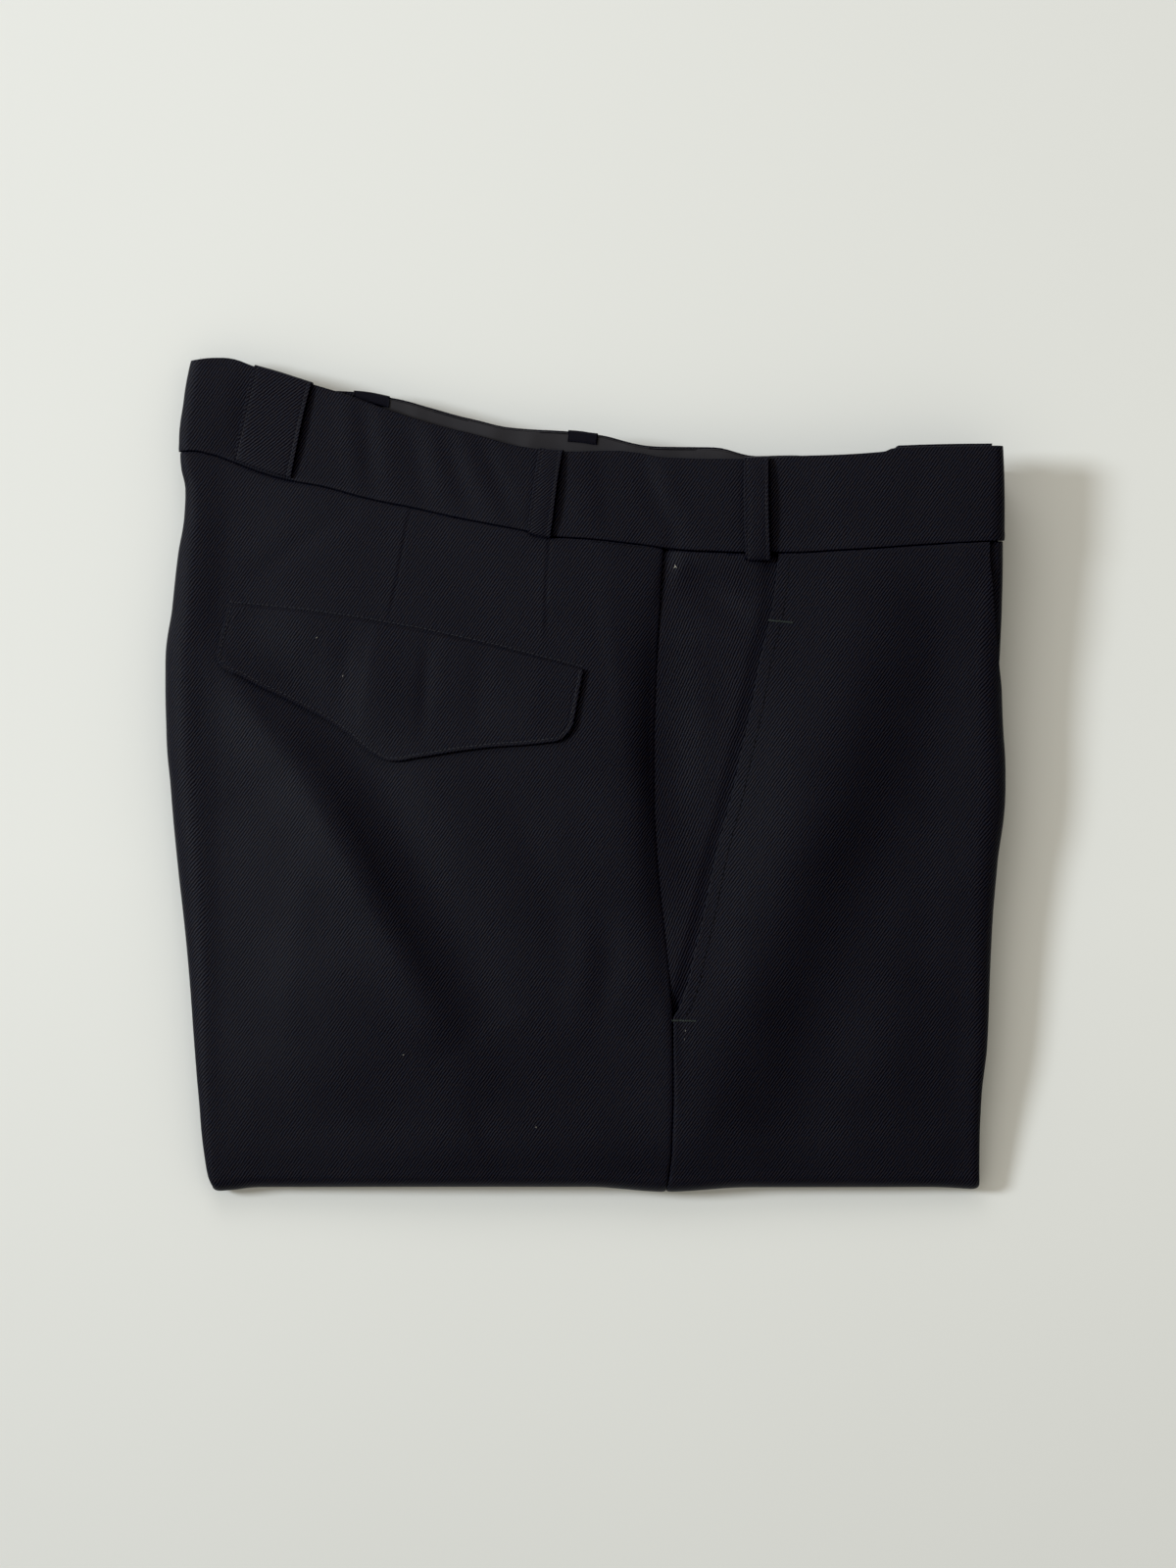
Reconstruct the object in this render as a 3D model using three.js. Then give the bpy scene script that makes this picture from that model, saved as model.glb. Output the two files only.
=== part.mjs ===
// Men's dress trousers in navy wool twill, pressed, laid on their left side and folded in three.
// The right side of the garment faces up. The legs turn under at the bottom fold, so the waist,
// hip and upper thigh show, and the rest of both legs lies below them.
//
// Millimetres. +X runs from the seat edge to the fly edge, +Y from the bottom fold to the waist,
// +Z up from the table. The underside rests on z = 0.
//
// Every visible piece is cut from one laid surface, laid(q, p, lift): q runs across the garment
// and on round both edges, p runs down it and on round the bottom fold, and lift moves a point
// out of the cloth's outer face. Pieces that lie on others only have another lift.

import * as THREE from "three";

// ---- Cloth and how its layers lie ----

const CLOTH = 1.2;                   // one panel of wool twill with its pressed seam allowances
const BAND = 2.4;                    // waistband: twill, interlining and turned edge
const LINING = 0.8;
const STRAP = 1.3;                   // belt loop
const SEAM_GAP = 0.3;                // between two pieces that are sewn together
const REST_GAP = 0.4;                // under a piece that lies on another
const BAND_PROUD = 0.6;              // how far the waistband's face stands above the panels
const MOUTH = 2.5;                   // waist opening, pressed nearly shut
const BAND_DEPTH = 46.5;
const FOLD_REACH = 7;                // how far the bottom fold bulges past the flat cloth
const UNDER = 14;                    // how far the outer panels run on below the fold
const CURL = THREE.MathUtils.degToRad(150);
const BAND_CURL_SEAT = Math.PI;      // the waistband turns right round at the centre back
const BAND_CURL_FLY = THREE.MathUtils.degToRad(80);

const NEAR_INSIDE = BAND_PROUD - BAND;
const LINING_FACE = NEAR_INSIDE - MOUTH;
const FAR_INSIDE = LINING_FACE - LINING - SEAM_GAP;
const FAR_OUTSIDE = FAR_INSIDE - BAND;
const BAND_DROP = (BAND_PROUD - FAR_OUTSIDE) / 2 - BAND_PROUD;

const NAVY = 0x1a1a22;
const NAVY_FACING = 0x17171e;
const LINING_GREY = 0x35343a;

// ---- Tables of the laid garment ----

// The two long edges, from the bottom fold up to the waist.
const EDGES = [
  { y: -192, seat: -171.5, fly: 182.4 },
  { y: -178, seat: -174.6, fly: 182.2 },
  { y: -150, seat: -177.3, fly: 182.8 },
  { y: -124, seat: -179.4, fly: 185.4 },
  { y: -85, seat: -182.3, fly: 186.8 },
  { y: -40, seat: -187.0, fly: 189.9 },
  { y: -4, seat: -190.2, fly: 193.4 },
  { y: 22, seat: -192.1, fly: 192.2 },
  { y: 49, seat: -192.5, fly: 190.9 },
  { y: 76, seat: -189.5, fly: 191.6 },
  { y: 102, seat: -186.7, fly: 191.9 },
  { y: 122, seat: -183.7, fly: 191.9 },
  { y: 131, seat: -183.4, fly: 191.8 },
  { y: 141, seat: -185.3, fly: 191.5 },
  { y: 149, seat: -185.8, fly: 191.2 },
  { y: 172, seat: -183.8, fly: 191.0 },
  { y: 191, seat: -180.6, fly: 190.6 },
];

// How far each edge rolls in, and how deep, before the next layer starts under it.
const ROLLS = [
  { y: -190, seat_reach: 4, seat_drop: 2.4, fly_reach: 4, fly_drop: 2.4 },
  { y: -160, seat_reach: 5, seat_drop: 3, fly_reach: 4.5, fly_drop: 2.8 },
  { y: -120, seat_reach: 7, seat_drop: 4, fly_reach: 6, fly_drop: 3.6 },
  { y: -80, seat_reach: 10, seat_drop: 5.5, fly_reach: 8, fly_drop: 5 },
  { y: -20, seat_reach: 12, seat_drop: 7, fly_reach: 10, fly_drop: 6 },
  { y: 50, seat_reach: 11, seat_drop: 7, fly_reach: 10, fly_drop: 6 },
  { y: 100, seat_reach: 9, seat_drop: 6, fly_reach: 7, fly_drop: 5 },
  { y: 133, seat_reach: 6, seat_drop: 4, fly_reach: 5, fly_drop: 3.8 },
  { y: 148, seat_reach: 5, seat_drop: BAND_DROP, fly_reach: 4, fly_drop: BAND_DROP },
  { y: 192, seat_reach: 5, seat_drop: BAND_DROP, fly_reach: 4, fly_drop: BAND_DROP },
];

// Height of the outer face above the table, down the garment, in five columns across it.
const HEIGHT_COLUMNS = { seat: -168, back: -88, side: 0, front: 90, fly: 172 };
const HEIGHTS = [
  { y: -186, seat: 13.4, back: 15.6, side: 16.4, front: 15.6, fly: 13.2 },
  { y: -165, seat: 15.6, back: 19.4, side: 20.2, front: 19.4, fly: 15.4 },
  { y: -120, seat: 19.0, back: 24.6, side: 25.4, front: 24.6, fly: 20.0 },
  { y: -70, seat: 22.0, back: 28.0, side: 28.6, front: 28.0, fly: 24.0 },
  { y: -10, seat: 24.0, back: 29.6, side: 30.8, front: 30.6, fly: 28.0 },
  { y: 50, seat: 24.0, back: 29.4, side: 31.6, front: 32.6, fly: 31.6 },
  { y: 105, seat: 21.4, back: 27.2, side: 31.0, front: 33.6, fly: 34.6 },
  { y: 150, seat: 18.4, back: 24.4, side: 29.4, front: 33.0, fly: 35.0 },
  { y: 192, seat: 15.6, back: 22.6, side: 28.0, front: 32.4, fly: 34.6 },
];

// The bottom fold's line.
const FOLD_LINE = [
  { x: -172, y: -192.2 },
  { x: -162, y: -191.4 },
  { x: -148, y: -190.1 },
  { x: 2, y: -189.9 },
  { x: 38, y: -192.2 },
  { x: 76, y: -190.1 },
  { x: 155, y: -190.1 },
  { x: 183, y: -191.3 },
];

// The seam that joins the panels to the waistband.
const WAIST_SEAM = [
  { x: -190, y: 146.6 },
  { x: -182.6, y: 148.8 },
  { x: -171.5, y: 147.2 },
  { x: -163.4, y: 144.5 },
  { x: -134.5, y: 135.0 },
  { x: -120.2, y: 132.3 },
  { x: -100.3, y: 126.9 },
  { x: -78.8, y: 122.4 },
  { x: -57.2, y: 117.5 },
  { x: -27, y: 111.6 },
  { x: -15.8, y: 109.0 },
  { x: 0, y: 108.0 },
  { x: 24.3, y: 105.4 },
  { x: 55.8, y: 102.2 },
  { x: 88.2, y: 101.5 },
  { x: 117, y: 102.6 },
  { x: 155.7, y: 105.1 },
  { x: 192, y: 107.0 },
];

// The top edge of the near waistband.
const NEAR_TOP = [
  { x: -190, y: 190.2 },
  { x: -180.9, y: 190.9 },
  { x: -169, y: 192.1 },
  { x: -150.8, y: 187.7 },
  { x: -126, y: 180.0 },
  { x: -107.6, y: 174.2 },
  { x: -77.4, y: 163.6 },
  { x: -50, y: 156.2 },
  { x: -21.2, y: 149.4 },
  { x: -7.2, y: 148.1 },
  { x: 11.3, y: 148.5 },
  { x: 24.3, y: 147.6 },
  { x: 37.4, y: 145.4 },
  { x: 72.5, y: 144.7 },
  { x: 95, y: 145.8 },
  { x: 136.8, y: 147.8 },
  { x: 142, y: 149.6 },
  { x: 192, y: 150.6 },
];

// The top edge of the far waistband, which shows past the near one over the hip.
const FAR_TOP = [
  { x: -182, y: 189.0 },
  { x: -169, y: 190.4 },
  { x: -150, y: 186.2 },
  { x: -131, y: 180.6 },
  { x: -120.2, y: 177.4 },
  { x: -108.9, y: 176.8 },
  { x: -88.7, y: 173.7 },
  { x: -71.6, y: 169.2 },
  { x: -50, y: 163.4 },
  { x: -28.4, y: 159.3 },
  { x: -9.9, y: 158.2 },
  { x: 7.2, y: 156.2 },
  { x: 33.8, y: 150.8 },
  { x: 59.9, y: 150.3 },
  { x: 78.8, y: 146.3 },
  { x: 95, y: 146.6 },
  { x: 112, y: 145.6 },
  { x: 137, y: 146.6 },
  { x: 190, y: 149.4 },
];

// The side seam, where the back panel's edge shows.
const SIDE_SEAM = [
  { y: -192, x: 37.8 },
  { y: -184, x: 39.2 },
  { y: -166, x: 40.5 },
  { y: -138, x: 41.0 },
  { y: -110, x: 40.9 },
  { y: -101, x: 39.6 },
  { y: -72, x: 37.4 },
  { y: -51, x: 34.7 },
  { y: -31, x: 32.4 },
  { y: 0, x: 32.4 },
  { y: 36, x: 33.1 },
  { y: 60, x: 33.8 },
  { y: 84, x: 35.6 },
  { y: 105, x: 36.9 },
];

// The slanted mouth of the side pocket: the front panel's free edge.
const POCKET_FOOT = -110;
const POCKET_MOUTH = [
  { y: -110, x: 41.2 },
  { y: -105, x: 44.1 },
  { y: -83, x: 50.0 },
  { y: -58, x: 55.8 },
  { y: -36, x: 60.3 },
  { y: -14, x: 66.2 },
  { y: 10, x: 71.6 },
  { y: 32, x: 76.5 },
  { y: 54, x: 80.6 },
  { y: 70, x: 84.6 },
  { y: 78, x: 86.2 },
  { y: 102, x: 88.7 },
];

// The fly edge of the right front: on top at the waist, round the edge lower down.
const FLY_END = -40;
const FLY_LINE = [
  { y: -40, turned: 150, across: 0 },
  { y: 34, turned: 150, across: 0 },
  { y: 52, turned: 88, across: 0 },
  { y: 62, turned: 40, across: 0 },
  { y: 74, turned: 0, across: 1.0 },
  { y: 89, turned: 0, across: 2.4 },
  { y: 99, turned: 0, across: 3.6 },
  { y: 107, turned: 0, across: 5.4 },
];
const FLY_LEAD = 3;                  // flat cloth before the free edge, where it isn't turned
const FLY_STRIP = { foot: 56, tuck: 4, sunk: 1.5, thick: 1, columns: 9, rows: 8 };
const FLY_RAISE = { amount: 1.9, from_x: 158, to_x: 176, from_y: 22, to_y: 42 };

// Main folds in the laid cloth. A ridge stands up (or, with a minus sign, sinks) along its
// path. A flank steps down from the left of its path to the right.
const FOLDS = [
  {
    kind: "flank", name: "drag from the seat to the knee", height: 2.3, width: 17,
    path: [
      [-152, 44], [-144.5, 25], [-126, -4], [-110, -36],
      [-94, -64], [-73, -88], [-47, -115], [-24, -135],
    ],
  },
  {
    kind: "ridge", name: "fullness beside the side seam", height: 2.3, width: 9,
    path: [[10, 92], [13, 64], [17, 32], [20, 8], [24, -16], [28, -40], [36, -84]],
  },
  {
    kind: "ridge", name: "crease below the back waist", height: -1.2, width: 6,
    path: [[-108, 119], [-126, 108], [-143, 96], [-154, 88]],
  },
  {
    kind: "ridge", name: "hollow beside the seat roll", height: -1.9, width: 6.5,
    path: [[-171, 138], [-172, 118], [-172.5, 96], [-175, 66], [-177, 44]],
  },
  {
    kind: "flank", name: "fall of the right front", height: 1.7, width: 21,
    path: [[150, 84], [143, 60], [134, 28], [124, -5], [111, -34], [98, -58], [85, -84]],
  },
];

const FOLD_ENDS = 0.08;              // share of a ridge's path past which it doesn't sink lower
const FOLD_FADE = 0.7;               // how bluntly a fold dies away at its ends
const FLANK_CREST = 0.606;           // where a flank is highest, as a share of its width

// The pocket facing, from under the back panel's edge to under the front panel's.
const FACING = {
  sunk: 2, thick: 1, below_seam: 0.6, seam_x: 60, past_foot: 6, under_back: 2, under_front: 9,
  shares: [0, 0.12, 0.35, 0.6, 0.85, 1], rows: 19,
};

// Back pocket flap: its top edge and its pointed lower edge.
const FLAP_TOP = [
  { share: 0, x: -163.1, y: 78.3 },
  { share: 0.12, x: -143.6, y: 76.5 },
  { share: 0.3, x: -114.8, y: 72.9 },
  { share: 0.45, x: -90.5, y: 68.9 },
  { share: 0.65, x: -57.2, y: 62.3 },
  { share: 0.87, x: -21.2, y: 53.6 },
  { share: 1, x: 0, y: 48.2 },
];
const FLAP_FOOT = [
  { share: 0, x: -168.6, y: 55.6 },
  { share: 0.03, x: -167.0, y: 51.0 },
  { share: 0.1, x: -157.5, y: 45.0 },
  { share: 0.28, x: -131.9, y: 32.4 },
  { share: 0.42, x: -108.9, y: 19.4 },
  { share: 0.5, x: -94.6, y: 8.6 },
  { share: 0.54, x: -87.3, y: 6.4 },
  { share: 0.6, x: -77.4, y: 7.7 },
  { share: 0.78, x: -42.8, y: 12.6 },
  { share: 0.93, x: -15.8, y: 14.9 },
  { share: 0.97, x: -7.6, y: 18.6 },
  { share: 1, x: -4.6, y: 24.0 },
];
const FLAP = { thick: 1.4, above: 0.8, rows: 6, columns: 19 };

// Belt loops: where each crosses the waistband's top and foot, how wide, how far it runs below
// the seam, how far its end is turned in over the top edge, and how far it stands above it.
const LOOPS = [
  {
    name: "belt_loop_back_right", near: true, top_x: -138, foot_x: -147.8,
    width:26.5, past: -1.2, turned: 5, above: 0,
  },
  {
    name: "belt_loop_side_right", near: true, top_x: -14.9, foot_x: -20.7,
    width:10.8, past: 0.6, turned: 5, above: 0,
  },
  {
    name: "belt_loop_front_right", near: true, top_x: 78.6, foot_x: 79.4,
    width:11.6, past: 3.6, turned: 5, above: 0,
  },
  {
    name: "belt_loop_back_left", near: false, top_x: -98, foot_x: -104,
    width:16.6, past: -1, turned: 5, above: 0,
  },
  {
    name: "belt_loop_side_left", near: false, top_x: -0.8, foot_x: -5,
    width:13.5, past: -1, turned: 5, above: 0,
  },
  {
    name: "belt_loop_front_left", near: false, top_x: 169.4, foot_x: 169.4,
    width:11.2, past: -1, turned: 0, above: 3.2,
  },
];
const LOOP_BULGE = { near: 0.9, far: 0.2 };
const WIDE_LOOP = 20;                // a loop wider than this follows the band in more columns
const LOOP_CLEAR = 0.9;              // between a loop's turn and the band's top edge

// End of the waistband's inner tab, which stands a little above the right front band.
const TAB = { from_x: 140.4, to_x: 186.5, under: 0.6, thick: 1.2, above: 1.1, depth: 38, corner: 2.4 };

// The hidden layers, as rings from the table up: shares of the height where the top layer
// starts, and how far each ring stands in from the garment's outline, for the two long sides,
// for the leg fold under the waist, and for the inside of the bottom fold.
const LAYERS = [
  { side: 0.0, side_in: 3.6, waist: 0.0, waist_in: 5.0, fold: 0.0, fold_in: 24 },
  { side: 0.03, side_in: 1.7, waist: 0.06, waist_in: 2.4, fold: 0.0, fold_in: 24 },
  { side: 0.09, side_in: 0.9, waist: 0.14, waist_in: 1.2, fold: 0.0, fold_in: 8.6 },
  { side: 0.16, side_in: 0.9, waist: 0.24, waist_in: 0.5, fold: 0.1, fold_in: 5.6 },
  { side: 0.22, side_in: 2.0, waist: 0.32, waist_in: 0.2, fold: 0.2, fold_in: 4.2 },
  { side: 0.255, side_in: 5.2, waist: 0.38, waist_in: 0.1, fold: 0.3, fold_in: 3.4 },
  { side: 0.29, side_in: 2.8, waist: 0.44, waist_in: 0.0, fold: 0.4, fold_in: 3.0 },
  { side: 0.36, side_in: 1.9, waist: 0.52, waist_in: 0.0, fold: 0.5, fold_in: 2.8 },
  { side: 0.44, side_in: 2.9, waist: 0.6, waist_in: 0.2, fold: 0.58, fold_in: 2.9 },
  { side: 0.49, side_in: 6.2, waist: 0.68, waist_in: 0.5, fold: 0.66, fold_in: 3.2 },
  { side: 0.55, side_in: 2.6, waist: 0.76, waist_in: 1.1, fold: 0.74, fold_in: 3.8 },
  { side: 0.72, side_in: 0.9, waist: 0.84, waist_in: 2.0, fold: 0.82, fold_in: 4.6 },
  { side: 0.9, side_in: 2.3, waist: 0.92, waist_in: 3.4, fold: 0.9, fold_in: 6.0 },
  { side: 1.0, side_in: 7.4, waist: 0.97, waist_in: 5.2, fold: 0.96, fold_in: 8.0 },
];
const STACK = {
  columns: 17, rows: 20, under_panels: 4.4, under_band: 11.8, under_crease: 1.1,
  from_roll: 3, from_leg_fold: 7, band_ramp: 14, band_level: 3, last_row: 8, ramp_row: 12,
  step_z: 1.8, step_y: -167, step_row: 3, fold_zone_in: 6.6, fold_zone_foot: 8.2, corner_in: 1.5,
  leg_fold: [[-178, 149], [-110, 146], [0, 141.5], [100, 140.5], [186, 143]],
};

// ---- Curves through the tables ----

// A smooth curve through rows of a table that never overshoots them.
function curveThrough(rows, along, value) {
  const t = rows.map((row) => row[along]);
  const v = rows.map((row) => row[value]);
  const last = rows.length - 1;
  const slope = t.slice(1).map((end, i) => (v[i + 1] - v[i]) / (end - t[i]));
  const lean = v.map((_, i) => {
    if (i === 0) return slope[0];
    if (i === last) return slope[last - 1];
    const before = slope[i - 1];
    const after = slope[i];
    return before * after <= 0 ? 0 : (2 * before * after) / (before + after);
  });
  return (at) => {
    const x = THREE.MathUtils.clamp(at, t[0], t[last]);
    let i = 0;
    while (i < last - 1 && x > t[i + 1]) i += 1;
    const wide = t[i + 1] - t[i];
    const s = (x - t[i]) / wide;
    const start = v[i] + s * wide * lean[i];
    const end = v[i + 1] - (1 - s) * wide * lean[i + 1];
    const ease = s * s * (3 - 2 * s);
    return start * (1 - ease) + end * ease;
  };
}

const seatEdge = curveThrough(EDGES, "y", "seat");
const flyEdge = curveThrough(EDGES, "y", "fly");
const seatReach = curveThrough(ROLLS, "y", "seat_reach");
const seatDrop = curveThrough(ROLLS, "y", "seat_drop");
const flyReach = curveThrough(ROLLS, "y", "fly_reach");
const flyDrop = curveThrough(ROLLS, "y", "fly_drop");
const foldLine = curveThrough(FOLD_LINE, "x", "y");
const waistSeam = curveThrough(WAIST_SEAM, "x", "y");
const nearTop = curveThrough(NEAR_TOP, "x", "y");
const farTop = curveThrough(FAR_TOP, "x", "y");
const sideSeam = curveThrough(SIDE_SEAM, "y", "x");
const pocketMouth = curveThrough(POCKET_MOUTH, "y", "x");
const flyTurned = curveThrough(FLY_LINE, "y", "turned");
const flyAcross = curveThrough(FLY_LINE, "y", "across");
const legFold = curveThrough(STACK.leg_fold.map(([x, y]) => ({ x, y })), "x", "y");

// ---- The laid surface ----

const heightColumns = Object.entries(HEIGHT_COLUMNS).map(([name, x]) => ({
  x,
  down: curveThrough(HEIGHTS, "y", name),
}));

// Signed distance to a fold's path (positive to its right, seen down the garment) and how far
// along it the nearest point lies, from 0 to 1.
function nearest(path, x, y) {
  let best = { away: Infinity, side: 0, share: 0 };
  for (let i = 0; i < path.length - 1; i += 1) {
    const [ax, ay] = path[i];
    const [bx, by] = path[i + 1];
    const dx = bx - ax;
    const dy = by - ay;
    const t = THREE.MathUtils.clamp(((x - ax) * dx + (y - ay) * dy) / (dx * dx + dy * dy), 0, 1);
    const away = Math.hypot(x - ax - t * dx, y - ay - t * dy);
    if (away < best.away) {
      const side = Math.sign((x - ax) * -dy + (y - ay) * dx);
      best = { away, side, share: (i + t) / (path.length - 1) };
    }
  }
  return best;
}

function foldHeight(fold, x, y) {
  const { away, side, share } = nearest(fold.path, x, y);
  const ends = fold.kind === "flank" ? 0 : FOLD_ENDS;
  const along = THREE.MathUtils.clamp(share, ends, 1 - ends);
  const height = fold.height * Math.sin(Math.PI * along) ** FOLD_FADE;
  if (fold.kind === "ridge") return height * Math.exp(-((away / fold.width) ** 2));
  const reach = away / (fold.width * FLANK_CREST);
  return -side * height * reach * Math.exp((1 - reach * reach) / 2);
}

function heightAt(x, y) {
  const row = heightColumns.map((column) => ({ x: column.x, z: column.down(y) }));
  const base = curveThrough(row, "x", "z")(x);
  return FOLDS.reduce((sum, fold) => sum + foldHeight(fold, x, y), base);
}

// Across the garment: the place x of q, how far it has dropped below the flat cloth.
function across(q, y, rolled = true) {
  const seatStart = seatEdge(y) + seatReach(y);
  const flyStart = flyEdge(y) - flyReach(y);
  if (!rolled || (q >= seatStart && q <= flyStart)) return { x: q, drop: 0 };
  const atSeat = q < seatStart;
  const reach = atSeat ? seatReach(y) : flyReach(y);
  const deep = atSeat ? seatDrop(y) : flyDrop(y);
  const start = atSeat ? seatStart : flyStart;
  const out = atSeat ? -1 : 1;
  const angle = Math.min((Math.abs(q - start) * 2) / (reach + deep), Math.PI);
  return { x: start + out * reach * Math.sin(angle), drop: deep * (1 - Math.cos(angle)) };
}

// The q of a point that has turned round the seat or fly edge by an angle.
const atSeatTurn = (angle, y) => seatEdge(y) + seatReach(y) - (angle * (seatReach(y) + seatDrop(y))) / 2;
const atFlyTurn = (angle, y) => flyEdge(y) - flyReach(y) + (angle * (flyReach(y) + flyDrop(y))) / 2;

// Down the garment: where p lies in y and z, and which way is into the folded cloth.
function down(x, p) {
  const end = foldLine(x) + FOLD_REACH;
  if (p >= end) return { y: p, z: heightAt(x, p), inY: 0, inZ: -1 };
  const half = heightAt(x, end) / 2;
  const round = (FOLD_REACH + half) / 2;
  const angle = (end - p) / round;
  if (angle >= Math.PI) return { y: end + (angle - Math.PI) * round, z: 0, inY: 0, inZ: 1 };
  const inY = Math.sin(angle) * half;
  const inZ = -Math.cos(angle) * FOLD_REACH;
  const size = Math.hypot(inY, inZ);
  return {
    y: end - FOLD_REACH * Math.sin(angle),
    z: half + half * Math.cos(angle),
    inY: inY / size,
    inZ: inZ / size,
  };
}

// The p of a point that has turned round the bottom fold by an angle, and gone on by some way.
function atFoldTurn(angle, x, further = 0) {
  const end = foldLine(x) + FOLD_REACH;
  const round = (FOLD_REACH + heightAt(x, end) / 2) / 2;
  return end - angle * round - further;
}

function facePoint(q, p, rolled) {
  const { x, drop } = across(q, Math.max(p, FOLD_LINE[0].y), rolled);
  const { y, z, inY, inZ } = down(x, p);
  return new THREE.Vector3(x, y + inY * drop, z + inZ * drop);
}

function laid(q, p, lift = 0, rolled = true) {
  const step = 0.4;
  const point = facePoint(q, p, rolled);
  const alongX = facePoint(q + step, p, rolled).sub(facePoint(q - step, p, rolled));
  const alongY = facePoint(q, p + step, rolled).sub(facePoint(q, p - step, rolled));
  const normal = alongX.cross(alongY).normalize();
  return point.addScaledVector(normal, lift);
}

// ---- Closed walls ----

function triangles(points, faces) {
  const geometry = new THREE.BufferGeometry();
  const outward = signedVolume(points, faces) < 0 ? faces.map(([a, b, c]) => [a, c, b]) : faces;
  geometry.setAttribute("position", new THREE.Float32BufferAttribute(points.flatMap((v) => v.toArray()), 3));
  geometry.setIndex(outward.flat());
  geometry.computeVertexNormals();
  return geometry;
}

function signedVolume(points, faces) {
  const cross = new THREE.Vector3();
  const sixfold = ([a, b, c]) => cross.crossVectors(points[b], points[c]).dot(points[a]);
  return faces.reduce((sum, face) => sum + sixfold(face), 0) / 6;
}

// A wall between an outer and an inner grid of points, closed round its rim. Both grids are
// given as at(i, j), i across and j down.
function wall(columns, rows, outer, inner) {
  const points = [];
  const faces = [];
  const index = (side, i, j) => side * columns * rows + i * rows + j;
  for (const at of [outer, inner]) {
    for (let i = 0; i < columns; i += 1) {
      for (let j = 0; j < rows; j += 1) points.push(at(i, j));
    }
  }
  for (let i = 0; i < columns - 1; i += 1) {
    for (let j = 0; j < rows - 1; j += 1) {
      const [a, b, c, d] = [[i, j], [i + 1, j], [i + 1, j + 1], [i, j + 1]];
      const top = [a, b, c, d].map(([u, v]) => index(0, u, v));
      const under = [a, b, c, d].map(([u, v]) => index(1, u, v));
      faces.push([top[0], top[1], top[2]], [top[0], top[2], top[3]]);
      faces.push([under[0], under[2], under[1]], [under[0], under[3], under[2]]);
    }
  }
  const rim = rimOf(columns, rows);
  rim.forEach(([i, j], k) => {
    const [u, v] = rim[(k + 1) % rim.length];
    faces.push([index(0, i, j), index(1, u, v), index(0, u, v)]);
    faces.push([index(0, i, j), index(1, i, j), index(1, u, v)]);
  });
  return triangles(points, faces);
}

// The border of a grid, once round.
function rimOf(columns, rows) {
  const rim = [];
  for (let i = 0; i < columns - 1; i += 1) rim.push([i, 0]);
  for (let j = 0; j < rows - 1; j += 1) rim.push([columns - 1, j]);
  for (let i = columns - 1; i > 0; i -= 1) rim.push([i, rows - 1]);
  for (let j = rows - 1; j > 0; j -= 1) rim.push([0, j]);
  return rim;
}

const mix = THREE.MathUtils.lerp;
const spread = (from, to, count) => Array.from({ length: count }, (_, i) => mix(from, to, i / (count - 1)));
const smooth = THREE.MathUtils.smoothstep;

const trousers = new THREE.Group();

function add(name, geometry, color, roughness = 0.85) {
  const mesh = new THREE.Mesh(geometry, new THREE.MeshStandardMaterial({ color, roughness, metalness: 0 }));
  mesh.name = name;
  trousers.add(mesh);
}

// ---- Panels ----

const ROLL_TURNS = [1, 0.76, 0.53, 0.32, 0.14, 0].map((share) => share * CURL);
const FOLD_TURNS = [0.1, 0.24, 0.38, 0.5, 0.62, 0.76, 0.9, 1].map((share) => share * Math.PI);
const PANEL_ROWS = 25;

// A panel's rows run from the waist seam down to the bottom fold and on under it.
function panelRow(x, j) {
  const top = waistSeam(x) - SEAM_GAP / 2;
  const end = foldLine(x) + FOLD_REACH;
  if (j < PANEL_ROWS) return mix(top, end, j / (PANEL_ROWS - 1));
  const turn = j - PANEL_ROWS;
  if (turn < FOLD_TURNS.length) return atFoldTurn(FOLD_TURNS[turn], x);
  return atFoldTurn(Math.PI, x, UNDER);
}

const PANEL_ROW_COUNT = PANEL_ROWS + FOLD_TURNS.length + 1;

// Where a column that moves with y crosses a line whose y moves with x.
function settled(columnX, line) {
  let x = 0;
  for (let pass = 0; pass < 8; pass += 1) x = columnX(line(x));
  return x;
}

// columns(y) gives the q of each column at y.
function panel(columns, count, lift, thick) {
  const place = (i, j, extra) => {
    const x = settled((y) => across(columns(y)[i], y).x, waistSeam);
    const p = panelRow(x, j);
    const q = columns(Math.max(p, FOLD_LINE[0].y))[i];
    return laid(q, p, lift(q, p) - extra);
  };
  return wall(count, PANEL_ROW_COUNT, (i, j) => place(i, j, 0), (i, j) => place(i, j, thick));
}

const backShares = spread(0, 1, 19).slice(1);
function backColumns(y) {
  const start = seatEdge(y) + seatReach(y);
  const end = sideSeam(y) - SEAM_GAP / 2;
  const rolled = ROLL_TURNS.map((angle) => atSeatTurn(angle, y));
  return [...rolled, ...backShares.map((share) => mix(start, end, share))];
}
add("back_panel_right", panel(backColumns, ROLL_TURNS.length + backShares.length, () => 0, CLOTH), NAVY);

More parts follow.
